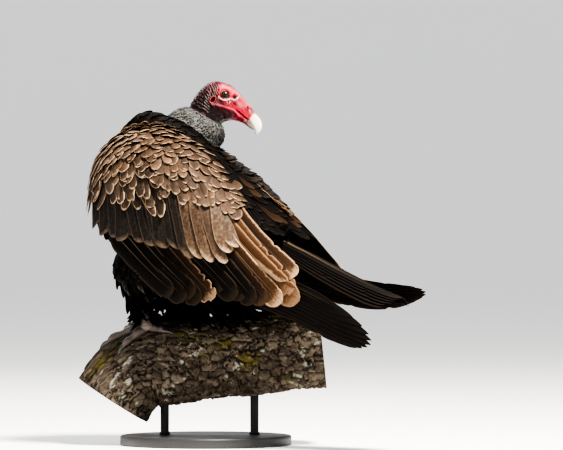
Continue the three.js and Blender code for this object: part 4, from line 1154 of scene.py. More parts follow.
def station_ring(stations, key, angle, square_top, square_bottom=1.0):
    """A ring between an upper and a lower point of the middle plane, squared off where asked."""
    top_x, top_z, low_x, low_z, half = np.moveaxis(along(keyed(stations), key), -1, 0)
    c, s = np.cos(angle), np.sin(angle)
    square = np.where(c > 0, square_top, square_bottom)
    height = (np.sign(c) * np.abs(c) ** (1 / square) + 1) / 2
    across = np.sign(s) * np.abs(s) ** (1 / square) * half
    return np.stack([mix(low_x, top_x, height), across, mix(low_z, top_z, height)], -1)


def line_distance(x, z, line):
    """Distance in the plane from points to a line of straight pieces."""
    line = np.asarray(line, float)
    best = np.full(np.shape(x), 1e9)
    for a, b in zip(line[:-1], line[1:]):
        t = np.clip(((x - a[0]) * (b[0] - a[0]) + (z - a[1]) * (b[1] - a[1])) / np.sum((b - a) ** 2), 0, 1)
        best = np.minimum(best, np.hypot(x - a[0] - t * (b[0] - a[0]), z - a[1] - t * (b[1] - a[1])))
    return best


def nostril_place(x, z):
    """Places in the nostril's own ellipse, 1 on its rim."""
    dx, dz = x - NOSTRIL[0], z - NOSTRIL[1]
    lengthways = dx * np.cos(NOSTRIL_SLOPE) - dz * np.sin(NOSTRIL_SLOPE)
    upright = dx * np.sin(NOSTRIL_SLOPE) + dz * np.cos(NOSTRIL_SLOPE)
    return lengthways / NOSTRIL_OPENING[0], upright / NOSTRIL_OPENING[1]


def head_relief(p, key, angle):
    """Height of the head's skin over its plain rings, and how strongly each kind of mark shows.

    Folds and lids are ridges, bell curves of the distance to their lines; ear, nostril, lore and mouth are
    hollows of the same kind; the nape's wrinkles are waves along the neck, bent by noise, that fade towards
    the ear and the face; warts are small domes in a shallow moat.
    """
    x, z = p[..., 0], p[..., 2]
    level = np.clip(np.abs(np.sin(angle)) * 1.3, 0, 1)

    def ridge(line, width):
        """Bell curve of the distance to a line."""
        return level * bell(line_distance(x, z, line), width)

    height = sum(tall * ridge(line, wide) for line, tall, wide in FOLDS)
    eye = np.hypot(x / EYE_OPENING[0], z / EYE_OPENING[1])
    for reach, width, tall in ((1.16, 0.17, 1.15), (1.48, 0.13, -0.7), (1.8, 0.16, 0.5), (1.1, 0.36, -0.9)):
        height += tall * level * bell(eye - reach, width)
    ear = np.hypot((x - EAR[0]) / 2.3, (z - EAR[1]) / 3.7)
    ear_pit, ear_rim = level * bell(ear**2), level * bell(ear - 1.4, 0.3)
    height += 1.2 * ear_rim - 3.4 * ear_pit
    a, b = nostril_place(x, z)
    recess = np.hypot((a + 0.45) / 2.0, b / 2.3)
    hollow = level * ramp(-recess, -1.15, -0.8)
    height += 0.6 * level * bell(recess - 1.25, 0.2) - 2.4 * hollow
    mouth = line_distance(x, z, MOUTH)
    bill_end = level * ramp(x, 22, 30)
    height -= 1.3 * bill_end * bell(mouth, 0.8)

    back = ramp(np.cos(angle), -0.35, 0.35)
    wave = (key * 2 * np.pi / 0.44 + 2.1 * wobble(p, 5.0, 3.0) + 1.6 * np.cos(angle)
            + 1.6 * wobble(p, 11.0, 9.0) + 0.7 * wobble(p, 2.6, 5.0))
    face_edge = 6.9 + 0.9 * np.cos(angle)
    nape = back * ramp(key, 0.6, 2.0) * (1 - ramp(key, face_edge - 1.2, face_edge + 0.3))
    crest = (0.5 + 0.5 * np.sin(wave)) ** 2.2 * ramp(wobble(p, 4.0, 8.0), -1.5, 0.4)
    throat = (1 - back) * (1 - ramp(key, 7.5, 10))
    crown = ramp(np.cos(angle), 0.3, 0.9) * ramp(key, 7, 9) * (1 - ramp(key, 12, 13))
    height += nape * (0.95 * crest - 0.4)
    height += throat * 0.3 * np.sin(angle * 14 + 2.0 * wobble(p, 8, 5.0))
    height += crown * 0.35 * np.sin(angle * 16 + 1.6 * wobble(p, 6, 2.0))

    lore = level * bell(np.hypot((x - LORE[0]) / 3.0, (z - LORE[1]) / 2.3))
    warts, moat = np.zeros_like(x), np.zeros_like(x)
    for i, (wart_x, wart_z) in enumerate(WARTS):
        for n in range(2):
            far = np.hypot(x - wart_x - 0.9 * np.sin(5.1 * i + 3.1 * n),
                           z - wart_z - 0.8 * np.cos(3.7 * i + 3.3 * n))
            warts = np.maximum(warts, level * bell(far, 0.80 - 0.15 * n))
            moat = np.maximum(moat, level * bell(far, 1.9))
    crescent = ridge(CRESCENT, 0.66) * ramp(wobble(p, 1.8, 6.0), -1.8, -0.2)
    height += 0.8 * ridge(LORE_RIM, 0.8) - 1.9 * lore
    height += 0.8 * warts - 0.4 * moat + 0.7 * crescent
    height += 0.22 * wobble(p, 2.6, 1.0) + 0.3 * wobble(p, 6.0, 7.0)
    return height * ramp(13.1 - key, 0.0, 0.5), dict(
        eye=eye, level=level, ear=ear_pit, ear_rim=ear_rim, hollow=hollow, nape=nape, crest=crest,
        mouth=bill_end * bell(mouth), lore=lore, warts=warts, moat=moat, crescent=crescent)


def head_colours(p, key, angle, mark):
    """Skin colours, each laid over those before it by an amount at every point: pink-red face, palest on
    the brow and snout as painted highlights, dark maroon nape with paler crests and creases painted near
    black as shade, a throat painted dark as the shade under the jaw, and painted shade in the eye's
    socket and the face's hollows."""
    x, z, level, eye = p[..., 0], p[..., 2], mark["level"], mark["eye"]

    def laid(tone, layers):
        """A tone with each layer's colour laid over it in turn."""
        for colour, amount in layers:
            tone = over(tone, colour, amount)
        return tone

    fold_line = np.interp(x, *zip(*JAW_FOLD))
    # Below the jaw fold the throat is painted near black: painted shade under the jaw.
    below = ramp(fold_line - z, 0.6, 3.2) * (1 - 0.65 * ramp(x, 22, 36))
    # Pale pink along the top of the jaw fold: a painted highlight on the fold.
    jaw = bell(z - fold_line - 0.6, 1.1) * ramp(x, -6, 2) * level
    # Pale crests with near black creases between them: painted shade in the nape's creases.
    wrinkles = mix([0.014, 0.003, 0.0035], [0.36, 0.085, 0.098], mark["crest"][..., None] ** 2.1)
    tone = laid(np.broadcast_to([0.27, 0.005, 0.022], p.shape), [
        ([0.34, 0.014, 0.030], 0.35 * wobble(p, 5.0, 2.0) + 0.1),
        ([0.020, 0.002, 0.003], 0.96 * below),
        ([0.42, 0.10, 0.11], 0.6 * jaw),
        (wrinkles, mark["nape"] * 1.15),
    ])
    # Darker down the neck towards the ruff: painted shade where the neck sinks into it.
    tone = tone * mix([0.13, 0.12, 0.14], np.ones(3), ramp(key, 3.2, 7.2)[..., None])
    # Pale pink along the brow and on the side of the snout: painted highlights.
    brow = bell(line_distance(x, z, BROW), 3.4) * level**0.2 * (0.75 + 0.25 * wobble(p, 3.0, 9.0))
    snout = level * bell(np.hypot((x - 25.5) / 6.5, (z - 1.5) / 3.2))
    crown = ramp(np.cos(angle), 0.86, 0.99) * ramp(key, 5.0, 7.0) * ramp(-key, -12.0, -10.5)
    spots = [bell(np.hypot((x - forward) / wide, (z - up) / tall)) for forward, up, wide, tall in BLOTCHES]
    return laid(tone, [
        ([0.46, 0.16, 0.175], 0.9 * brow + 0.5 * snout),
        *(([0.035, 0.002, 0.004], 1.1 * (level * spot)) for spot in spots),
        ([0.36, 0.008, 0.018], 1.2 * level * bell(eye - 1.72, 0.22)),
        # Near black ring round the eye: painted shade in its socket.
        ([0.012, 0.0015, 0.0015], 1.6 * level * bell(eye - 1.08, 0.27)),
        # Darker in the moat round the warts: painted shade.
        ([0.080, 0.004, 0.007], 0.8 * mark["moat"]),
        ([0.56, 0.36, 0.32], 1.5 * mark["crescent"] - 0.2),
        ([0.34, 0.020, 0.040], 0.4 * ramp(x, 30, 44) * ramp(np.cos(angle), -0.3, 0.6)),
        # The lore's hollow, the nostril's recess, the ear's opening and the gape line are painted dark as
        # shade in these hollows; the ear's rim between them is not.
        ([0.014, 0.001, 0.0015], 1.7 * mark["lore"]),
        ([0.17, 0.002, 0.009], mark["hollow"]),
        ([0.30, 0.04, 0.045], 0.8 * mark["ear_rim"]),
        ([0.010, 0.002, 0.003], 1.5 * mark["ear"]),
        ([0.045, 0.004, 0.006], 0.85 * mark["mouth"]),
        ([0.045, 0.006, 0.010], 0.8 * crown * (0.6 + 0.4 * wobble(p, 2.2, 4.0))),
        ([0.62, 0.50, 0.44], mark["warts"] * 2.2 - 0.9),
    ])


def opening_rim(points, gone):
    """The directed edges round the quads to be cut out of a skin: those whose reverse is in none of them."""
    start = gone.ravel()
    stop = np.roll(gone, -1, axis=1).ravel()
    size = len(points) + 1
    inner = np.isin(start.astype(np.int64) * size + stop, stop.astype(np.int64) * size + start)
    return np.stack([start[~inner], stop[~inner]], 1)


def head_skin():
    """The head and bare neck as one fine grid. Each eye opening is walled to a point behind the eyeball;
    the nostril runs through the bill, its walls joining each rim to its mirror image. Returns points,
    lists of faces and colours."""
    v, turn = ring_grid(HEAD_ROWS, HEAD_SIDES)
    key = (len(HEAD_STATIONS) - 1) * v
    plain = station_ring(HEAD_STATIONS, key, turn, 1.05)
    flat = plain.reshape(-1, 3)
    caps = end_caps(HEAD_ROWS, HEAD_SIDES, len(flat) + 2, len(flat) + 3)
    quads, caps, normals = facing_out(flat, grid_quads(HEAD_ROWS, HEAD_SIDES, True), caps)
    height, mark = head_relief(plain, key, turn)
    tone = head_colours(plain, key, turn, mark).reshape(-1, 3)
    points = flat + normals * height.reshape(-1, 1)
    points[:HEAD_SIDES] = flat[:HEAD_SIDES]

    middle = points[quads].mean(axis=1)
    aside = np.abs(middle[:, 1]) > 2.5
    eyes = (np.hypot(middle[:, 0] / EYE_OPENING[0], middle[:, 2] / EYE_OPENING[1]) < 1) & aside
    nostrils = (np.hypot(*nostril_place(middle[:, 0], middle[:, 2])) < 1) & aside
    walls = []
    for side in (1, -1):
        rim = opening_rim(points, quads[eyes & (middle[:, 1] * side > 0)])
        ring = np.unique(rim)
        reach = np.hypot(points[ring, 0] / EYE_OPENING[0], points[ring, 2] / EYE_OPENING[1])[:, None]
        points[ring, 0:3:2] = points[ring, 0:3:2] / reach
        walls.append(np.column_stack([rim, np.full(len(rim), len(points))]))
        points = np.concatenate([points, [[0, side * (EYE_OUT - 1.5), 0]]])
        tone = np.concatenate([tone, [[0.02, 0.01, 0.01]]])
    rim = opening_rim(points, quads[nostrils & (middle[:, 1] > 0)])
    mirror = np.arange(len(flat)).reshape(HEAD_ROWS, HEAD_SIDES)
    mirror = mirror[:, (HEAD_SIDES - np.arange(HEAD_SIDES)) % HEAD_SIDES].ravel()
    ring = np.unique([rim, mirror[rim]])
    reach = np.hypot(*nostril_place(points[ring, 0], points[ring, 2]))
    for column, centre in ((0, NOSTRIL[0]), (2, NOSTRIL[1])):
        points[ring, column] = centre + (points[ring, column] - centre) / reach
    tone[ring] = [0.33, 0.01, 0.02]
    bore = np.stack([rim[:, 0], rim[:, 1], mirror[rim[:, 1]], mirror[rim[:, 0]]], 1)
    ends = [points[:HEAD_SIDES].mean(axis=0), points[len(flat) - HEAD_SIDES:len(flat)].mean(axis=0)]
    tone = np.concatenate([tone, np.full((2, 3), 0.03)])
    faces = [quads[~(eyes | nostrils)], bore, caps] + walls
    return head_to_bird(np.concatenate([points, ends])), faces, tone


def horn_half(name, stations, square_top, square_bottom, material, node, hook, skin_to, painted_shade):
    """One half of the bill: rings between the middle plane's upper and lower line, with fine growth lines
    across the horn, as a sine wave. Red skin laps it as far as skin_to. The last argument darkens the
    horn's base and the skin on it as painted shade, for the lower mandible that lies in shade; hook
    darkens its tip."""
    rows, sides = 120, 72

    def place(v, angle):
        """The bill's ring, moved out by the growth lines."""
        rings = station_ring(stations, v * (len(stations) - 1), angle, square_top, square_bottom)
        grow = 0.022 * np.sin(v * 150 + 2 * np.cos(angle)) * ramp(v, 0.02, 0.1)
        return rings + grow[..., None] * np.stack([0 * angle, np.sin(angle), np.cos(angle)], -1)

    points, quads, caps = rod(rows, sides, place)
    quads, caps, _ = facing_out(points, quads, caps)
    way = np.concatenate([np.repeat(np.linspace(0, 1, rows), sides), [0, 1]])
    tone = mix([0.66, 0.56, 0.42], [0.80, 0.74, 0.62], ramp(way, 0.1, 0.6)[:, None])
    # Painted shade over the horn's base and its skin, by the last argument: 1 on the lower mandible.
    tone = over(tone, [0.040, 0.011, 0.010], painted_shade * ramp(way, 0, 0.3))
    skin = mix([0.24, 0.016, 0.026], [0.06, 0.008, 0.010], painted_shade)
    tone = over(tone, skin, 0.9 * (1 - ramp(way, skin_to * 0.5, skin_to)))
    tone = tone * (1 + 0.07 * wobble(points * np.array([0.3, 1, 1]), 1.6, 4.0))[:, None]
    tone = over(tone, [0.15, 0.08, 0.045], hook * ramp(way, 0.88, 0.98))
    make(name, head_to_bird(points), [quads, caps], material, (node,), tone)


def eyeballs(material):
    """Glossy eyes: a sphere that bulges a little over the pupil, with colours in rings about the way it
    looks: black pupil, brown iris whose rays are sine waves, and a dark rim."""
    rows, sides = 72, 72
    polar = np.concatenate([np.repeat(np.pi * np.linspace(0, 1, rows), sides), [0, np.pi]])
    ray = np.concatenate([np.tile(ring_steps(sides), rows), [0, 0]])
    iris = np.array([0.034, 0.019, 0.010]) * (1 + 0.35 * np.sin(ray * 23 + 3 * np.sin(ray * 5)))[:, None]
    tone = over(np.full((len(ray), 3), 0.003), iris, ramp(polar, 0.36, 0.42))
    tone = over(tone, [0.012, 0.008, 0.007], ramp(polar, 0.56, 0.66))
    for word, side in SIDES:
        def place(v, angle):
            """The globe, its middle line pointing out to the side."""
            turn = np.pi * np.clip(v, 0.004, 0.996)
            outward = side * np.cos(turn) * (1 + 0.035 * bell(turn, 0.55))
            globe = np.stack([np.sin(turn) * np.cos(angle), outward, np.sin(turn) * np.sin(angle)], -1)
            return globe * EYE_RADIUS + [0, side * EYE_OUT, 0]

        points, quads, caps = rod(rows, sides, place)
        quads, caps, _ = facing_out(points, quads, caps)
        make(f"eyeball_{word}", head_to_bird(points), [quads, caps], material, (f"eye_{word}",), tone)


def nape_bristles(material):
    """Short stiff black bristles scattered over the nape and cheeks, each a thin three-sided cone."""
    count, step = 420, 0.01

    def skin_at(key, angle, square=1.05):
        """The head's plain ring."""
        return station_ring(HEAD_STATIONS, key, angle, square)

    key = rng.uniform(1.6, 9.0, count)
    angle = rng.normal(0.0, 0.75, count)
    angle += np.where(rng.random(count) < 0.22, rng.choice([-1.3, 1.3], count), 0)
    base = skin_at(key, angle)
    along_neck = skin_at(key + step, angle) - base
    out = unit(np.cross(along_neck, skin_at(key, angle + step) - base))
    middle = (skin_at(key, np.zeros(count), 1.0) + skin_at(key, np.full(count, np.pi), 1.0)) / 2
    out = np.where(np.sum(out * (base - middle), axis=1, keepdims=True) < 0, -out, out)
    lean = unit(out - 1.1 * unit(along_neck) + 0.35 * rng.normal(0, 1, (count, 3)))
    across = unit(np.cross(lean, out + 0.01))
    other = np.cross(lean, across)
    length = rng.uniform(1.6, 3.6, count)[:, None]
    thick = rng.uniform(0.13, 0.24, count)[:, None]
    root = base + out * 0.2
    ring = [root + thick * (np.cos(a) * across + np.sin(a) * other) for a in (0, 2.094, 4.189)]
    points = np.stack(ring + [root + lean * length + out * -0.12 * length**1.2 * 0.3], axis=1).reshape(-1, 3)
    first = np.arange(count)[:, None] * 4
    faces = [first + corners for corners in ([0, 1, 3], [1, 2, 3], [2, 0, 3], [0, 2, 1])]
    home = bake_home(key / 9, angle / 6.3 + 0.5, 14)
    make("nape_bristles", head_to_bird(points), faces, material,
         tone=[0.018, 0.014, 0.013], uvs={"OFBake": np.repeat(home, 4, axis=0)})


# ---------- materials

class Finish:
    """A material under way: its shader's inputs, and short ways to add nodes and join them."""

    def __init__(self, name, roughness, specular):
        self.material = bpy.data.materials.new(name)
        self.material.use_nodes = True
        self.tree = self.material.node_tree
        self.shader = self.tree.nodes["Principled BSDF"].inputs
        self.shader["Roughness"].default_value = roughness
        self.shader["Specular IOR Level"].default_value = specular

    def feed(self, socket, value):
        """Join a socket to the one given, or set it to the value given."""
        if isinstance(value, bpy.types.NodeSocket):
            self.tree.links.new(value, socket)
        else:
            socket.default_value = value

    def node(self, kind, **inputs):
        """A node of a kind with its named inputs fed."""
        made = self.tree.nodes.new(kind)
        for name, value in inputs.items():
            self.feed(made.inputs[name], value)
        return made

    def maths(self, operation, *values, clamp=False):
        """One operation on up to three numbers or sockets."""
        made = self.tree.nodes.new("ShaderNodeMath")
        made.operation = operation
        made.use_clamp = clamp
        for socket, value in zip(made.inputs, values):
            self.feed(socket, value)
        return made.outputs[0]

    def times(self, a, b, clamp=False):
        """a multiplied by b."""
        return self.maths("MULTIPLY", a, b, clamp=clamp)

    def plus_times(self, a, b, c):
        """a multiplied by b, plus c."""
        return self.maths("MULTIPLY_ADD", a, b, c)

    def rest(self, a):
        """What is left of one."""
        return self.maths("SUBTRACT", 1.0, a)

    def blend(self, factor, a, b, mode="MIX"):
        """A colour that goes from a to b by the factor."""
        made = self.tree.nodes.new("ShaderNodeMix")
        made.data_type = "RGBA"
        made.blend_type = mode
        for socket, value in ((made.inputs[0], factor), (made.inputs[6], a), (made.inputs[7], b)):
            self.feed(socket, value)
        return made.outputs[2]

    def dimmed(self, colour, by):
        """A colour multiplied by another."""
        return self.blend(1.0, colour, by, "MULTIPLY")

    def attribute(self, name):
        """A colour kept with the mesh."""
        made = self.tree.nodes.new("ShaderNodeAttribute")
        made.attribute_name = name
        return made.outputs["Color"]

    def noise(self, scale, detail, roughness=0.55):
        """Noise of the piece's own coordinates."""
        made = self.node("ShaderNodeTexNoise", Scale=scale, Detail=detail, Roughness=roughness)
        self.feed(made.inputs["Vector"], self.tree.nodes.new("ShaderNodeTexCoord").outputs["Object"])
        return made.outputs["Fac"]

    def ranged(self, value, low, high, to_low=0.0, to_high=1.0, smooth=False):
        """A value moved from one range to another."""
        made = self.node("ShaderNodeMapRange", Value=value)
        made.interpolation_type = "SMOOTHSTEP" if smooth else "LINEAR"
        for name, number in (("From Min", low), ("From Max", high), ("To Min", to_low), ("To Max", to_high)):
            made.inputs[name].default_value = number
        return made.outputs[0]

    def bump(self, height, strength, distance):
        """Relief on the surface from a height."""
        made = self.node("ShaderNodeBump", Height=height, Strength=strength, Distance=distance)
        self.feed(self.shader["Normal"], made.outputs[0])


def plumage(name, fringe, barbs, specular, roughness=0.62, sheen=0.0, depth=0.85):
    """Feather vane: the feather's own tint, darker along the middle, a pale worn fringe whose breadth noise
    changes, fine slanted barbs as stripes and bump, and a shaft that is paler towards the root. All of it
    is darker towards the feather's root, painted shade where it lies under its neighbours."""
    finish = Finish(name, roughness, specular)
    maths, times, blend, dimmed = finish.maths, finish.times, finish.blend, finish.dimmed
    uv = finish.tree.nodes.new("ShaderNodeUVMap")
    uv.uv_map = "Vane"
    split = finish.node("ShaderNodeSeparateXYZ", Vector=uv.outputs[0])
    across, way = split.outputs[0], split.outputs[1]
    marks = finish.node("ShaderNodeSeparateColor", Color=finish.attribute("Mark"))
    strength, wear, kind = marks.outputs[0], marks.outputs[1], marks.outputs[2]
    off = maths("ABSOLUTE", finish.plus_times(across, 2.0, -1.0))
    patch = finish.noise(260.0, 3.0)
    grain = finish.noise(1400.0, 2.0)

    edge = maths("MAXIMUM", maths("POWER", off, 2.2), maths("POWER", way, 7.0))
    edge = finish.plus_times(patch, 0.45, maths("SUBTRACT", edge, 0.22))
    rim = times(finish.ranged(edge, 0.46, 0.92, smooth=True), strength, clamp=True)
    slant = finish.plus_times(off, -0.16, way)
    stripes = maths("SINE", finish.plus_times(patch, 5.0, times(slant, barbs)))
    stripe_level = finish.plus_times(stripes, 0.5, 0.5)

    tint = finish.attribute("Tint")
    heart = times(finish.rest(maths("POWER", off, 1.6)), finish.rest(maths("POWER", way, 5.0)))
    middle = blend(times(heart, depth), tint, dimmed(tint, (0.24, 0.22, 0.215, 1)))
    coloured = blend(rim, middle, fringe)
    rubbed = finish.ranged(patch, 0.42, 0.85)
    worn = blend(times(wear, rubbed), coloured, blend(0.4, coloured, fringe))
    striped = blend(finish.plus_times(stripe_level, 0.26, times(grain, 0.35)), worn,
                    dimmed(worn, (0.45, 0.42, 0.40, 1)))
    shaft_line = maths("LESS_THAN", off, 0.05)
    shaft = maths("MAXIMUM", times(shaft_line, 0.25), maths("GREATER_THAN", kind, 1.5))
    shaft_tone = blend(way, blend(0.3, tint, (0.36, 0.27, 0.17, 1)), dimmed(tint, (0.8, 0.7, 0.6, 1)))
    final = blend(shaft, striped, shaft_tone)
    # Darker towards the root, where each feather lies under its neighbours: painted shade.
    shaded = blend(times(finish.rest(way), depth * 0.41), final, dimmed(final, (0.4, 0.38, 0.38, 1)))
    finish.feed(finish.shader["Base Color"], shaded)
    finish.bump(stripe_level, 0.35, 0.0004)
    finish.feed(finish.shader["Sheen Weight"], sheen)
    finish.feed(finish.shader["Sheen Roughness"], 0.5)
    return finish.material


def painted(name, roughness, specular, mottle, pore_scale, pore_depth, subsurface=0.0,
            dark=(0.55, 0.5, 0.5, 1)):
    """A surface whose broad colours are worked out with its shape (Tone), with noise mottling over them,
    fine pores as bump, and a roughness that the same noise changes."""
    finish = Finish(name, roughness, specular)
    tone = finish.attribute("Tone")
    broad = finish.noise(pore_scale * 0.25, 5.0)
    fine = finish.noise(pore_scale, 6.0, roughness=0.7)
    mottled = finish.blend(finish.times(broad, mottle), tone, finish.dimmed(tone, dark))
    speckle = finish.times(finish.maths("SUBTRACT", fine, 0.45, clamp=True), 0.7)
    lighter = finish.dimmed(tone, (1.5, 1.45, 1.4, 1))
    finish.feed(finish.shader["Base Color"], finish.blend(speckle, mottled, lighter))
    rough = finish.ranged(fine, 0.0, 1.0, roughness - 0.1, min(roughness + 0.12, 1.0))
    finish.feed(finish.shader["Roughness"], rough)
    cells = finish.node("ShaderNodeTexVoronoi", Scale=pore_scale * 1.3)
    finish.feed(cells.inputs["Vector"], finish.tree.nodes.new("ShaderNodeTexCoord").outputs["Object"])
    relief = finish.plus_times(fine, 1.0, finish.times(cells.outputs["Distance"], 0.6))
    finish.bump(relief, 0.6, pore_depth)
    if subsurface:
        finish.feed(finish.shader["Subsurface Weight"], subsurface)
        finish.feed(finish.shader["Subsurface Radius"], (1.0, 0.3, 0.2))
        finish.feed(finish.shader["Subsurface Scale"], 0.0015)
    return finish.material


def stand_finish():
    """Dark satin paint with faint brush-scale unevenness and slightly lighter worn patches."""
    finish = Finish("stand_paint", 0.42, 0.45)
    broad = finish.noise(24.0, 5.0)
    fine = finish.noise(900.0, 3.0)
    colour = finish.blend(broad, (0.018, 0.018, 0.020, 1), (0.034, 0.033, 0.034, 1))
    finish.feed(finish.shader["Base Color"], colour)
    finish.feed(finish.shader["Roughness"], finish.ranged(broad, 0.0, 1.0, 0.34, 0.55))
    finish.bump(fine, 0.25, 0.0002)
    return finish.material


brown_vanes = plumage("brown_plumage", (0.58, 0.40, 0.26, 1), 270.0, specular=0.14)
brown_flight = plumage("brown_flight", (0.46, 0.30, 0.18, 1), 1250.0, roughness=0.66, specular=0.05)
black_vanes = plumage("black_plumage", (0.030, 0.022, 0.018, 1), 520.0, roughness=0.6, specular=0.025)
soft_down = plumage("body_plumage", (0.12, 0.12, 0.115, 1), 60.0, roughness=0.9, specular=0.06, sheen=0.08,
                    depth=0.3)
skin_finish = painted("bare_skin", 0.42, 0.20, 0.5, 1500.0, 0.00025, subsurface=0.06)
horn_finish = painted("ivory_horn", 0.34, 0.5, 0.25, 900.0, 0.00006, subsurface=0.08,
                      dark=(0.78, 0.70, 0.6, 1))
claw_finish = painted("claw_horn", 0.38, 0.5, 0.4, 1200.0, 0.00008)
eye_finish = painted("eye_gloss", 0.15, 0.25, 0.1, 2500.0, 0.0)
bark_finish = painted("bark", 0.88, 0.15, 0.7, 520.0, 0.0016)
paint_finish = stand_finish()

# ---------- skin

NECK_END = 0.985

body_parts = [
    rod(90, 72, lambda v, angle: trunk_surface(mix(-98.0, 196.0, v), angle, COAT_DEPTH)),
    rod(60, 56, lambda v, angle: neck_surface(NECK_END * v, angle,
                                              mix(COAT_DEPTH + 1, 3.5, ramp(v, 0.6, 1)))),
    *(rod(60, 48, lambda v, angle: thigh_surface(side, v, angle, COAT_DEPTH)) for side in (1, -1)),
]
body, body_quads, body_normals = remeshed(body_parts, 3.0, 12)
# For each point of the body skin: how far up the neck it is, if it is on the neck or a thigh, and how
# much of the breast or the belly it is.
body_x, body_y, body_z = body.T
upward = body_normals[:, 2]
neck_keys = np.linspace(0, 1, 120)
neck_centres, _, _, neck_forward, neck_halves = neck_frame(neck_keys)
gap = np.linalg.norm(body[:, None] - neck_centres[None], axis=2) - neck_halves[None]
nearest = np.argmin(gap, axis=1)
neck_key = neck_keys[nearest]
on_neck = (neck_key > 0.34) & (gap[np.arange(len(body)), nearest] < 4)
on_thigh = (body_z < 100) & (np.abs(body_x) > 12) & (body_y < 60) & ~on_neck
breast = np.clip(ramp(-body_y, 30, 80) + ramp(-body_normals[:, 1], 0.3, 0.8), 0, 1)
belly = ramp(-upward, 0.1, 0.6) * (1 - breast)
around = np.arctan2(body_x, body_z - 160) / (2 * np.pi) + 0.5
body_home = bake_home((body_y + 110) / 320, around, 11)
neck_home = bake_home(neck_key, np.arctan2(body_x + 40, body_y) / (2 * np.pi) + 0.5, 12)
thigh_home = bake_home(body_z / 120, around, 13)
# Skin under the feathers is painted near black, as painted shade in the gaps between feathers; on the neck
# it takes a ruff-like grey.
body_tone = np.where(on_neck[:, None], 0.7 * SOOT, 0.005)
head_points, head_faces, head_tone = head_skin()
skin_points, skin_faces, skin_tones = [body, head_points], [body_quads], [body_tone, head_tone]
skin_faces += [faces + len(body) for faces in head_faces]
skin_count = len(body) + len(head_points)
for side in (1, -1):
    for leg_points, leg_quads, leg_caps, leg_tone in leg_skin(side):
        skin_points.append(leg_points)
        skin_faces += [leg_quads + skin_count, leg_caps + skin_count]
        skin_tones.append(leg_tone)
        skin_count += len(leg_points)
make("skin", np.concatenate(skin_points), skin_faces, skin_finish,
     ("trunk", "neck_ruff", "neck_bare", "head", "thigh_left", "thigh_right", "shank_left", "shank_right",
      "foot_left", "foot_right"), np.concatenate(skin_tones))

horn_half("bill_upper_horn", BILL_UPPER, 1.0, 1.7, horn_finish, "bill_upper", 0.6, 0.16, 0.0)
# The lower mandible is painted darker by the last number: painted shade.
horn_half("bill_lower_horn", BILL_LOWER, 1.7, 1.0, horn_finish, "bill_lower", 0.0, 0.5, 0.9)
eyeballs(eye_finish)
nape_bristles(claw_finish)
claws(claw_finish)

# ---------- plumage

for word, side in SIDES:
    wing_coverts(side, word, brown_vanes)
    wing_secondaries(side, word, brown_flight)
    wing_primaries(side, word, black_vanes)
    scapulars(side, word, black_vanes)
free_tertials(brown_flight)
mantle_vanes(black_vanes)
tail_fan(black_vanes)


SHEET_ROWS, SHEET_COLUMNS, SHEET_THICK = 50, 60, 1.2


def arm_sheets(material):
    """A thin dark layer of skin and down under each wing's coverts, painted dark as the shade in the gaps
    between them: 6 mm under their face, or three quarters of their thickness where that is less."""
    for word, side in SIDES:
        surface = shell_surface(side)
        parts, keys = np.linspace(0.0, 0.93, SHEET_ROWS), np.linspace(0.02, 0.95, SHEET_COLUMNS)
        part, key = np.meshgrid(parts, keys, indexing="ij")
        y = mix(along(COVERT_FRONT, part)[..., 0], along(COVERT_BACK, part)[..., 0], key)
        down = part * shell_length(side, y, along(COVERT_LOWER, y)[..., 0])
        depth = np.minimum(6.0, 0.75 * covert_thick(key, part))
        layers = [surface(y, down, -depth - under) for under in (0, SHEET_THICK)]
        points = np.concatenate(layers).reshape(-1, 3)
        quads = grid_quads(SHEET_ROWS, SHEET_COLUMNS)
        size = SHEET_ROWS * SHEET_COLUMNS
        index = np.arange(size).reshape(SHEET_ROWS, SHEET_COLUMNS)
        rim = np.concatenate([index[0, :-1], index[:-1, -1], index[-1, :0:-1], index[:0:-1, 0]])
        after = np.roll(rim, -1)
        faces = [quads, quads[:, ::-1] + size, np.stack([after, rim, rim + size, after + size], 1)]
        if side < 0:
            faces = [f[:, ::-1] for f in faces]
        # Dark brown: the skin and down, and painted shade in the gaps between the coverts.
        make(f"wing_down_and_shade_{word}", points, faces, material,
             tone=[0.030, 0.021, 0.016])


arm_sheets(painted("down_and_shade", 0.9, 0.1, 0.5, 700.0, 0.0006))


def falling_away(tips, normals):
    """How far points lie over the body skin: over the nearest of every third skin point, measured along
    the given normals."""
    coarse, facing = body[::3].astype(np.float32), body_normals[::3]
    square = np.sum(coarse**2, axis=1)
    near = np.argmin(square[None] - 2 * tips.astype(np.float32) @ coarse.T, axis=1)
    over = np.sum((tips - coarse[near]) * facing[near], axis=1)
    return np.clip(over / np.maximum(np.sum(facing[near] * normals, axis=1), 0.45), -5, 22)


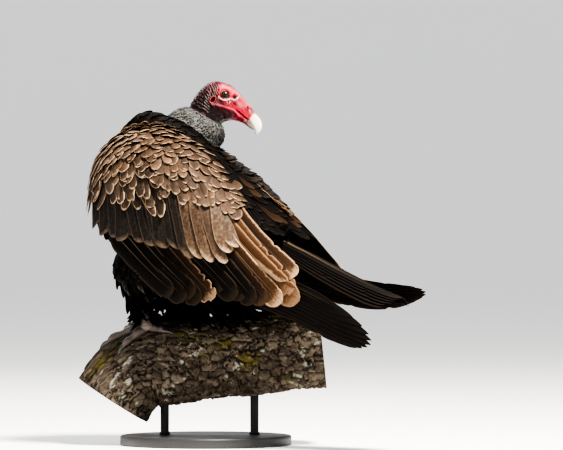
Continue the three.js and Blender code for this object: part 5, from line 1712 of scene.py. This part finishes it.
def body_feathers(name, chosen, spacing, flow, length, width, rise, home, rows=9, columns=5,
                  base=BLACK * 1.4, material=black_vanes, fringe=0.3, shape=rounded, droop=0.0, camber=0.2,
                  sway=0.18, spread=0.2, stand=0.0):
    """A region of body feathers on evenly spread roots, in as many pieces as the face limit asks for. Each
    curls down by what its tip would stand over the skin, and by droop."""
    where = np.flatnonzero(chosen)
    where = where[thinned(body[where], spacing)]
    flow = np.broadcast_to(flow, body.shape)
    base = np.broadcast_to(base, body.shape)
    most = int(PIECE_TRIANGLES / (4 * (rows - 1) * (columns - 1)))
    for n, start in enumerate(range(0, len(where), most)):
        picked = where[start:start + most]
        count = len(picked)
        roots, normals = body[picked], body_normals[picked]
        tips = roots + laid_flat(flow[picked], normals) * length * 0.9
        bent = droop + falling_away(tips, normals)
        batch = Batch()
        mark = marks(count, 0.3, 1, 0.4) * [fringe, 1]
        lengths = length * rng.normal(1, 0.12, count)
        widths = width * rng.normal(1, 0.1, count)
        loose_feathers(batch, roots, normals, flow[picked], lengths, widths, rise,
                       shade(base[picked], count, spread), home[picked], columns, rows, camber, bent, 0.05,
                       shape, mark, sway, stand)
        batch.build(f"{name}_{n + 1}" if len(where) > most else name, material)


def ways(x, y, z):
    """A heading for each point of the body skin from three numbers or rows of numbers."""
    return np.stack(np.broadcast_arrays(x, y, z, body_x)[:3], 1)


ruff_end = mix(1.3, 0.95, ramp(-neck_key, -0.72, -0.5))[:, None]
# Near the top of the ruff, the side that faces the view's right is painted near black: painted shade.
front = ramp(body_normals @ np.array([-0.60, 0.80, 0.0]), 0.62, 0.9) * ramp(-neck_key, -0.93, -0.8)
ruff_tone = SOOT * np.exp(0.5 * wobble(body, 9.0, 3.0))[:, None] * ruff_end * mix(1.0, 0.1, front)[:, None]
down_neck = -neck_forward[nearest]
body_feathers("neck_ruff_feathers", on_neck & (neck_key > 0.50), 2.8, down_neck, 12, 5.2, (-0.9, 0.3),
              neck_home, 5, 3, ruff_tone, soft_down, camber=0.05, shape=pointed, sway=0.25, spread=0.08)
body_feathers("lower_neck_feathers", on_neck & (neck_key <= 0.56), 7.0, down_neck + [0, 0.5, 0], 27, 19,
              (-2.5, 1.4), neck_home, 8, sway=0.08, droop=1.5)
rest = ~on_neck & ~on_thigh
back_flow = ways(0.05 * np.sign(body_x), 1.0, -0.4)
body_feathers("mantle_feathers", rest & (upward > 0.05) & (body_y > -70), 9.5, back_flow, 30, 20,
              (-3.0, 0.4), body_home, sway=0.09)
breast_flow = ways(0.1 * np.sign(body_x), 0.25 + 0.9 * belly, -1 + 0.6 * belly)
low_front = (upward <= 0.05) & ((body_y < -40) | (belly > 0.4))
body_feathers("breast_feathers", rest & (low_front | (body_y <= -66)), 9.5, breast_flow, 34, 20, (-3.0, 5.0),
              body_home, sway=0.12)
flank = rest & (upward <= 0.05) & (body_y >= -40) & (belly <= 0.4)
body_feathers("flank_feathers", flank, 13.0, breast_flow + [0, 0.6, 0.2], 34, 20, (-3.0, 5.0), body_home, 7,
              base=BLACK * 1.3)
hanging = rest & (upward < -0.72) & (belly > 0.5) & (body_y > -62) & (body_y < 165)
body_feathers("belly_fringe", hanging, 8.0, [0.0, 0.8, -0.4], 72, 14, (-1.0, 1.0), body_home,
              base=BLACK * 1.3, fringe=0.35, shape=pointed, sway=0.5, stand=0.75)
thigh_flow = ways(0.05 * np.sign(body_x), 0.18, -1.0)
# Pale grey on about a third of the lower thigh feathers, those that face forward and to the bird's left.
pale_forward_left = (rng.random(len(body)) < 0.35) * ramp(body_normals @ np.array([0.60, -0.80, 0.0]), 0.2, 0.8)
pale_forward_left = pale_forward_left * ramp(-body_z, -100, -65)
thigh_tone = mix(BLACK * 1.4, [0.13, 0.125, 0.115], pale_forward_left[:, None])
body_feathers("thigh_feathers", on_thigh & (body_z > 26), 6.8, thigh_flow, 36, 11, (-2.0, 4.5), thigh_home,
              8, base=thigh_tone, fringe=0.4, shape=pointed, sway=0.2)
body_feathers("heel_feathers", on_thigh & (body_z <= 34), 5.0, thigh_flow, 35, 10, (-2.0, 3.0), thigh_home,
              8, fringe=0.4, shape=pointed, sway=0.35, stand=0.2)
hip = ~on_neck & (body_z > 84) & (body_z < 120) & (body_y < 60)
body_feathers("hip_feathers", hip, 7.5, thigh_flow, 34, 16, (-1.5, 2.0), thigh_home, 8, sway=0.12,
              stand=0.12)

# ---------- limb and stand

bark_limb(bark_finish)
disc = [(0, 0.0), (117.5, 0.0), (119.4, 0.5), (120, 1.6), (120, 11.2), (119.7, 12.4), (118.9, 13.3),
        (117.6, 13.9), (116.0, 14.0), (0, 14.0)]
turned("base_disc", disc, (0, 0), paint_finish, "stand_base")
for node_name in ("stand_rod_front", "stand_rod_rear"):
    low, high = (np.array(corner) * 1000 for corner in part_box(node_name))
    foot, top = low[2], high[2]
    post = [(0, foot), (7.5, foot), (7.5, foot + 2.2), (6.6, foot + 3.0), (6, foot + 3.6), (6, top - 0.6),
            (5.4, top), (0, top)]
    turned(node_name.replace("stand_", "post_"), post, (low + high) / 2, paint_finish, node_name)

# ---------- floor, light and camera

FLOOR_FLAT, FLOOR_CURVE = 12.0, 7.0
FLOOR_RINGS, FLOOR_STEPS = 24, 120


def sweep_floor():
    """A pale studio sweep: level out to FLOOR_FLAT metres, then curving up as a quarter circle."""
    quarter = np.linspace(0.05, np.pi / 2, FLOOR_RINGS)
    flat = np.linspace(0.01, FLOOR_FLAT, FLOOR_RINGS)
    radius = np.concatenate([flat, FLOOR_FLAT + FLOOR_CURVE * np.sin(quarter)])[:, None]
    height = np.concatenate([0 * flat, FLOOR_CURVE - FLOOR_CURVE * np.cos(quarter)])[:, None]
    angle = ring_steps(FLOOR_STEPS)
    points = np.stack([radius * np.cos(angle), radius * np.sin(angle), height + 0 * angle], -1)
    mesh = bpy.data.meshes.new("studio_floor")
    quads = grid_quads(2 * FLOOR_RINGS, FLOOR_STEPS, True)
    mesh.from_pydata(points.reshape(-1, 3), [], [list(range(FLOOR_STEPS))] + quads.tolist())
    mesh.polygons.foreach_set("use_smooth", np.full(len(mesh.polygons), True))
    floor = placed("studio_floor", mesh)
    finish = Finish("pale_floor", 0.9, 0.2)
    colour = finish.blend(finish.noise(1.5, 3.0), (0.80, 0.805, 0.81, 1), (0.83, 0.83, 0.832, 1))
    finish.feed(finish.shader["Base Color"], colour)
    finish.feed(finish.shader["Emission Color"], (1.0, 0.995, 0.985, 1))
    finish.feed(finish.shader["Emission Strength"], 0.30)
    mesh.materials.append(finish.material)


sweep_floor()
world = bpy.data.worlds.new("studio")
world.use_nodes = True
background = world.node_tree.nodes["Background"].inputs
background["Color"].default_value = (0.92, 0.94, 0.96, 1)
background["Strength"].default_value = 0.42
bpy.context.scene.world = world
bpy.context.scene.view_settings.look = "AgX - High Contrast"

VIEW_AZIMUTH, VIEW_ELEVATION = np.radians(127.0), np.radians(1.0)
VIEW_DISTANCE, VIEW_LENS = 10.0, 456.7
aim = np.array([-0.0689, 0.0807, 0.3078])
level = np.array([np.sin(VIEW_AZIMUTH), -np.cos(VIEW_AZIMUTH), 0.0])
to_camera = level * np.cos(VIEW_ELEVATION) + np.array([0, 0, np.sin(VIEW_ELEVATION)])
to_right = np.array([np.cos(VIEW_AZIMUTH), np.sin(VIEW_AZIMUTH), 0.0])


def turned_towards(place, target):
    """The turn that looks from a place at a target, with the world's up kept up."""
    return (Vector(target) - Vector(place)).to_track_quat("-Z", "Y").to_euler()


def soft_light(name, right, near, up, power, size, colour):
    """A square soft light, so far right, near and up from the aim, in metres, turned to it."""
    data = bpy.data.lights.new(name, "AREA")
    data.energy = power
    data.size = size
    data.color = colour
    lamp = placed(name, data)
    place = aim + to_right * right + to_camera * near + np.array([0, 0, up])
    lamp.location = place
    lamp.rotation_euler = turned_towards(place, aim)


soft_light("key_light", 0.5, 0.95, 1.95, 265, 0.5, (1.0, 0.94, 0.85))
soft_light("fill_light", -1.7, 1.6, 0.7, 8, 1.6, (0.88, 0.93, 1.0))
soft_light("rim_light", -0.8, -1.6, 1.5, 30, 1.0, (1.0, 0.98, 0.95))

camera_data = bpy.data.cameras.new("camera")
camera_data.lens = VIEW_LENS
camera_data.sensor_width = 36.0
camera_data.clip_end = 200.0
camera = placed("camera", camera_data)
camera.location = aim + to_camera * VIEW_DISTANCE
camera.rotation_euler = turned_towards(camera.location, aim)
bpy.context.scene.camera = camera
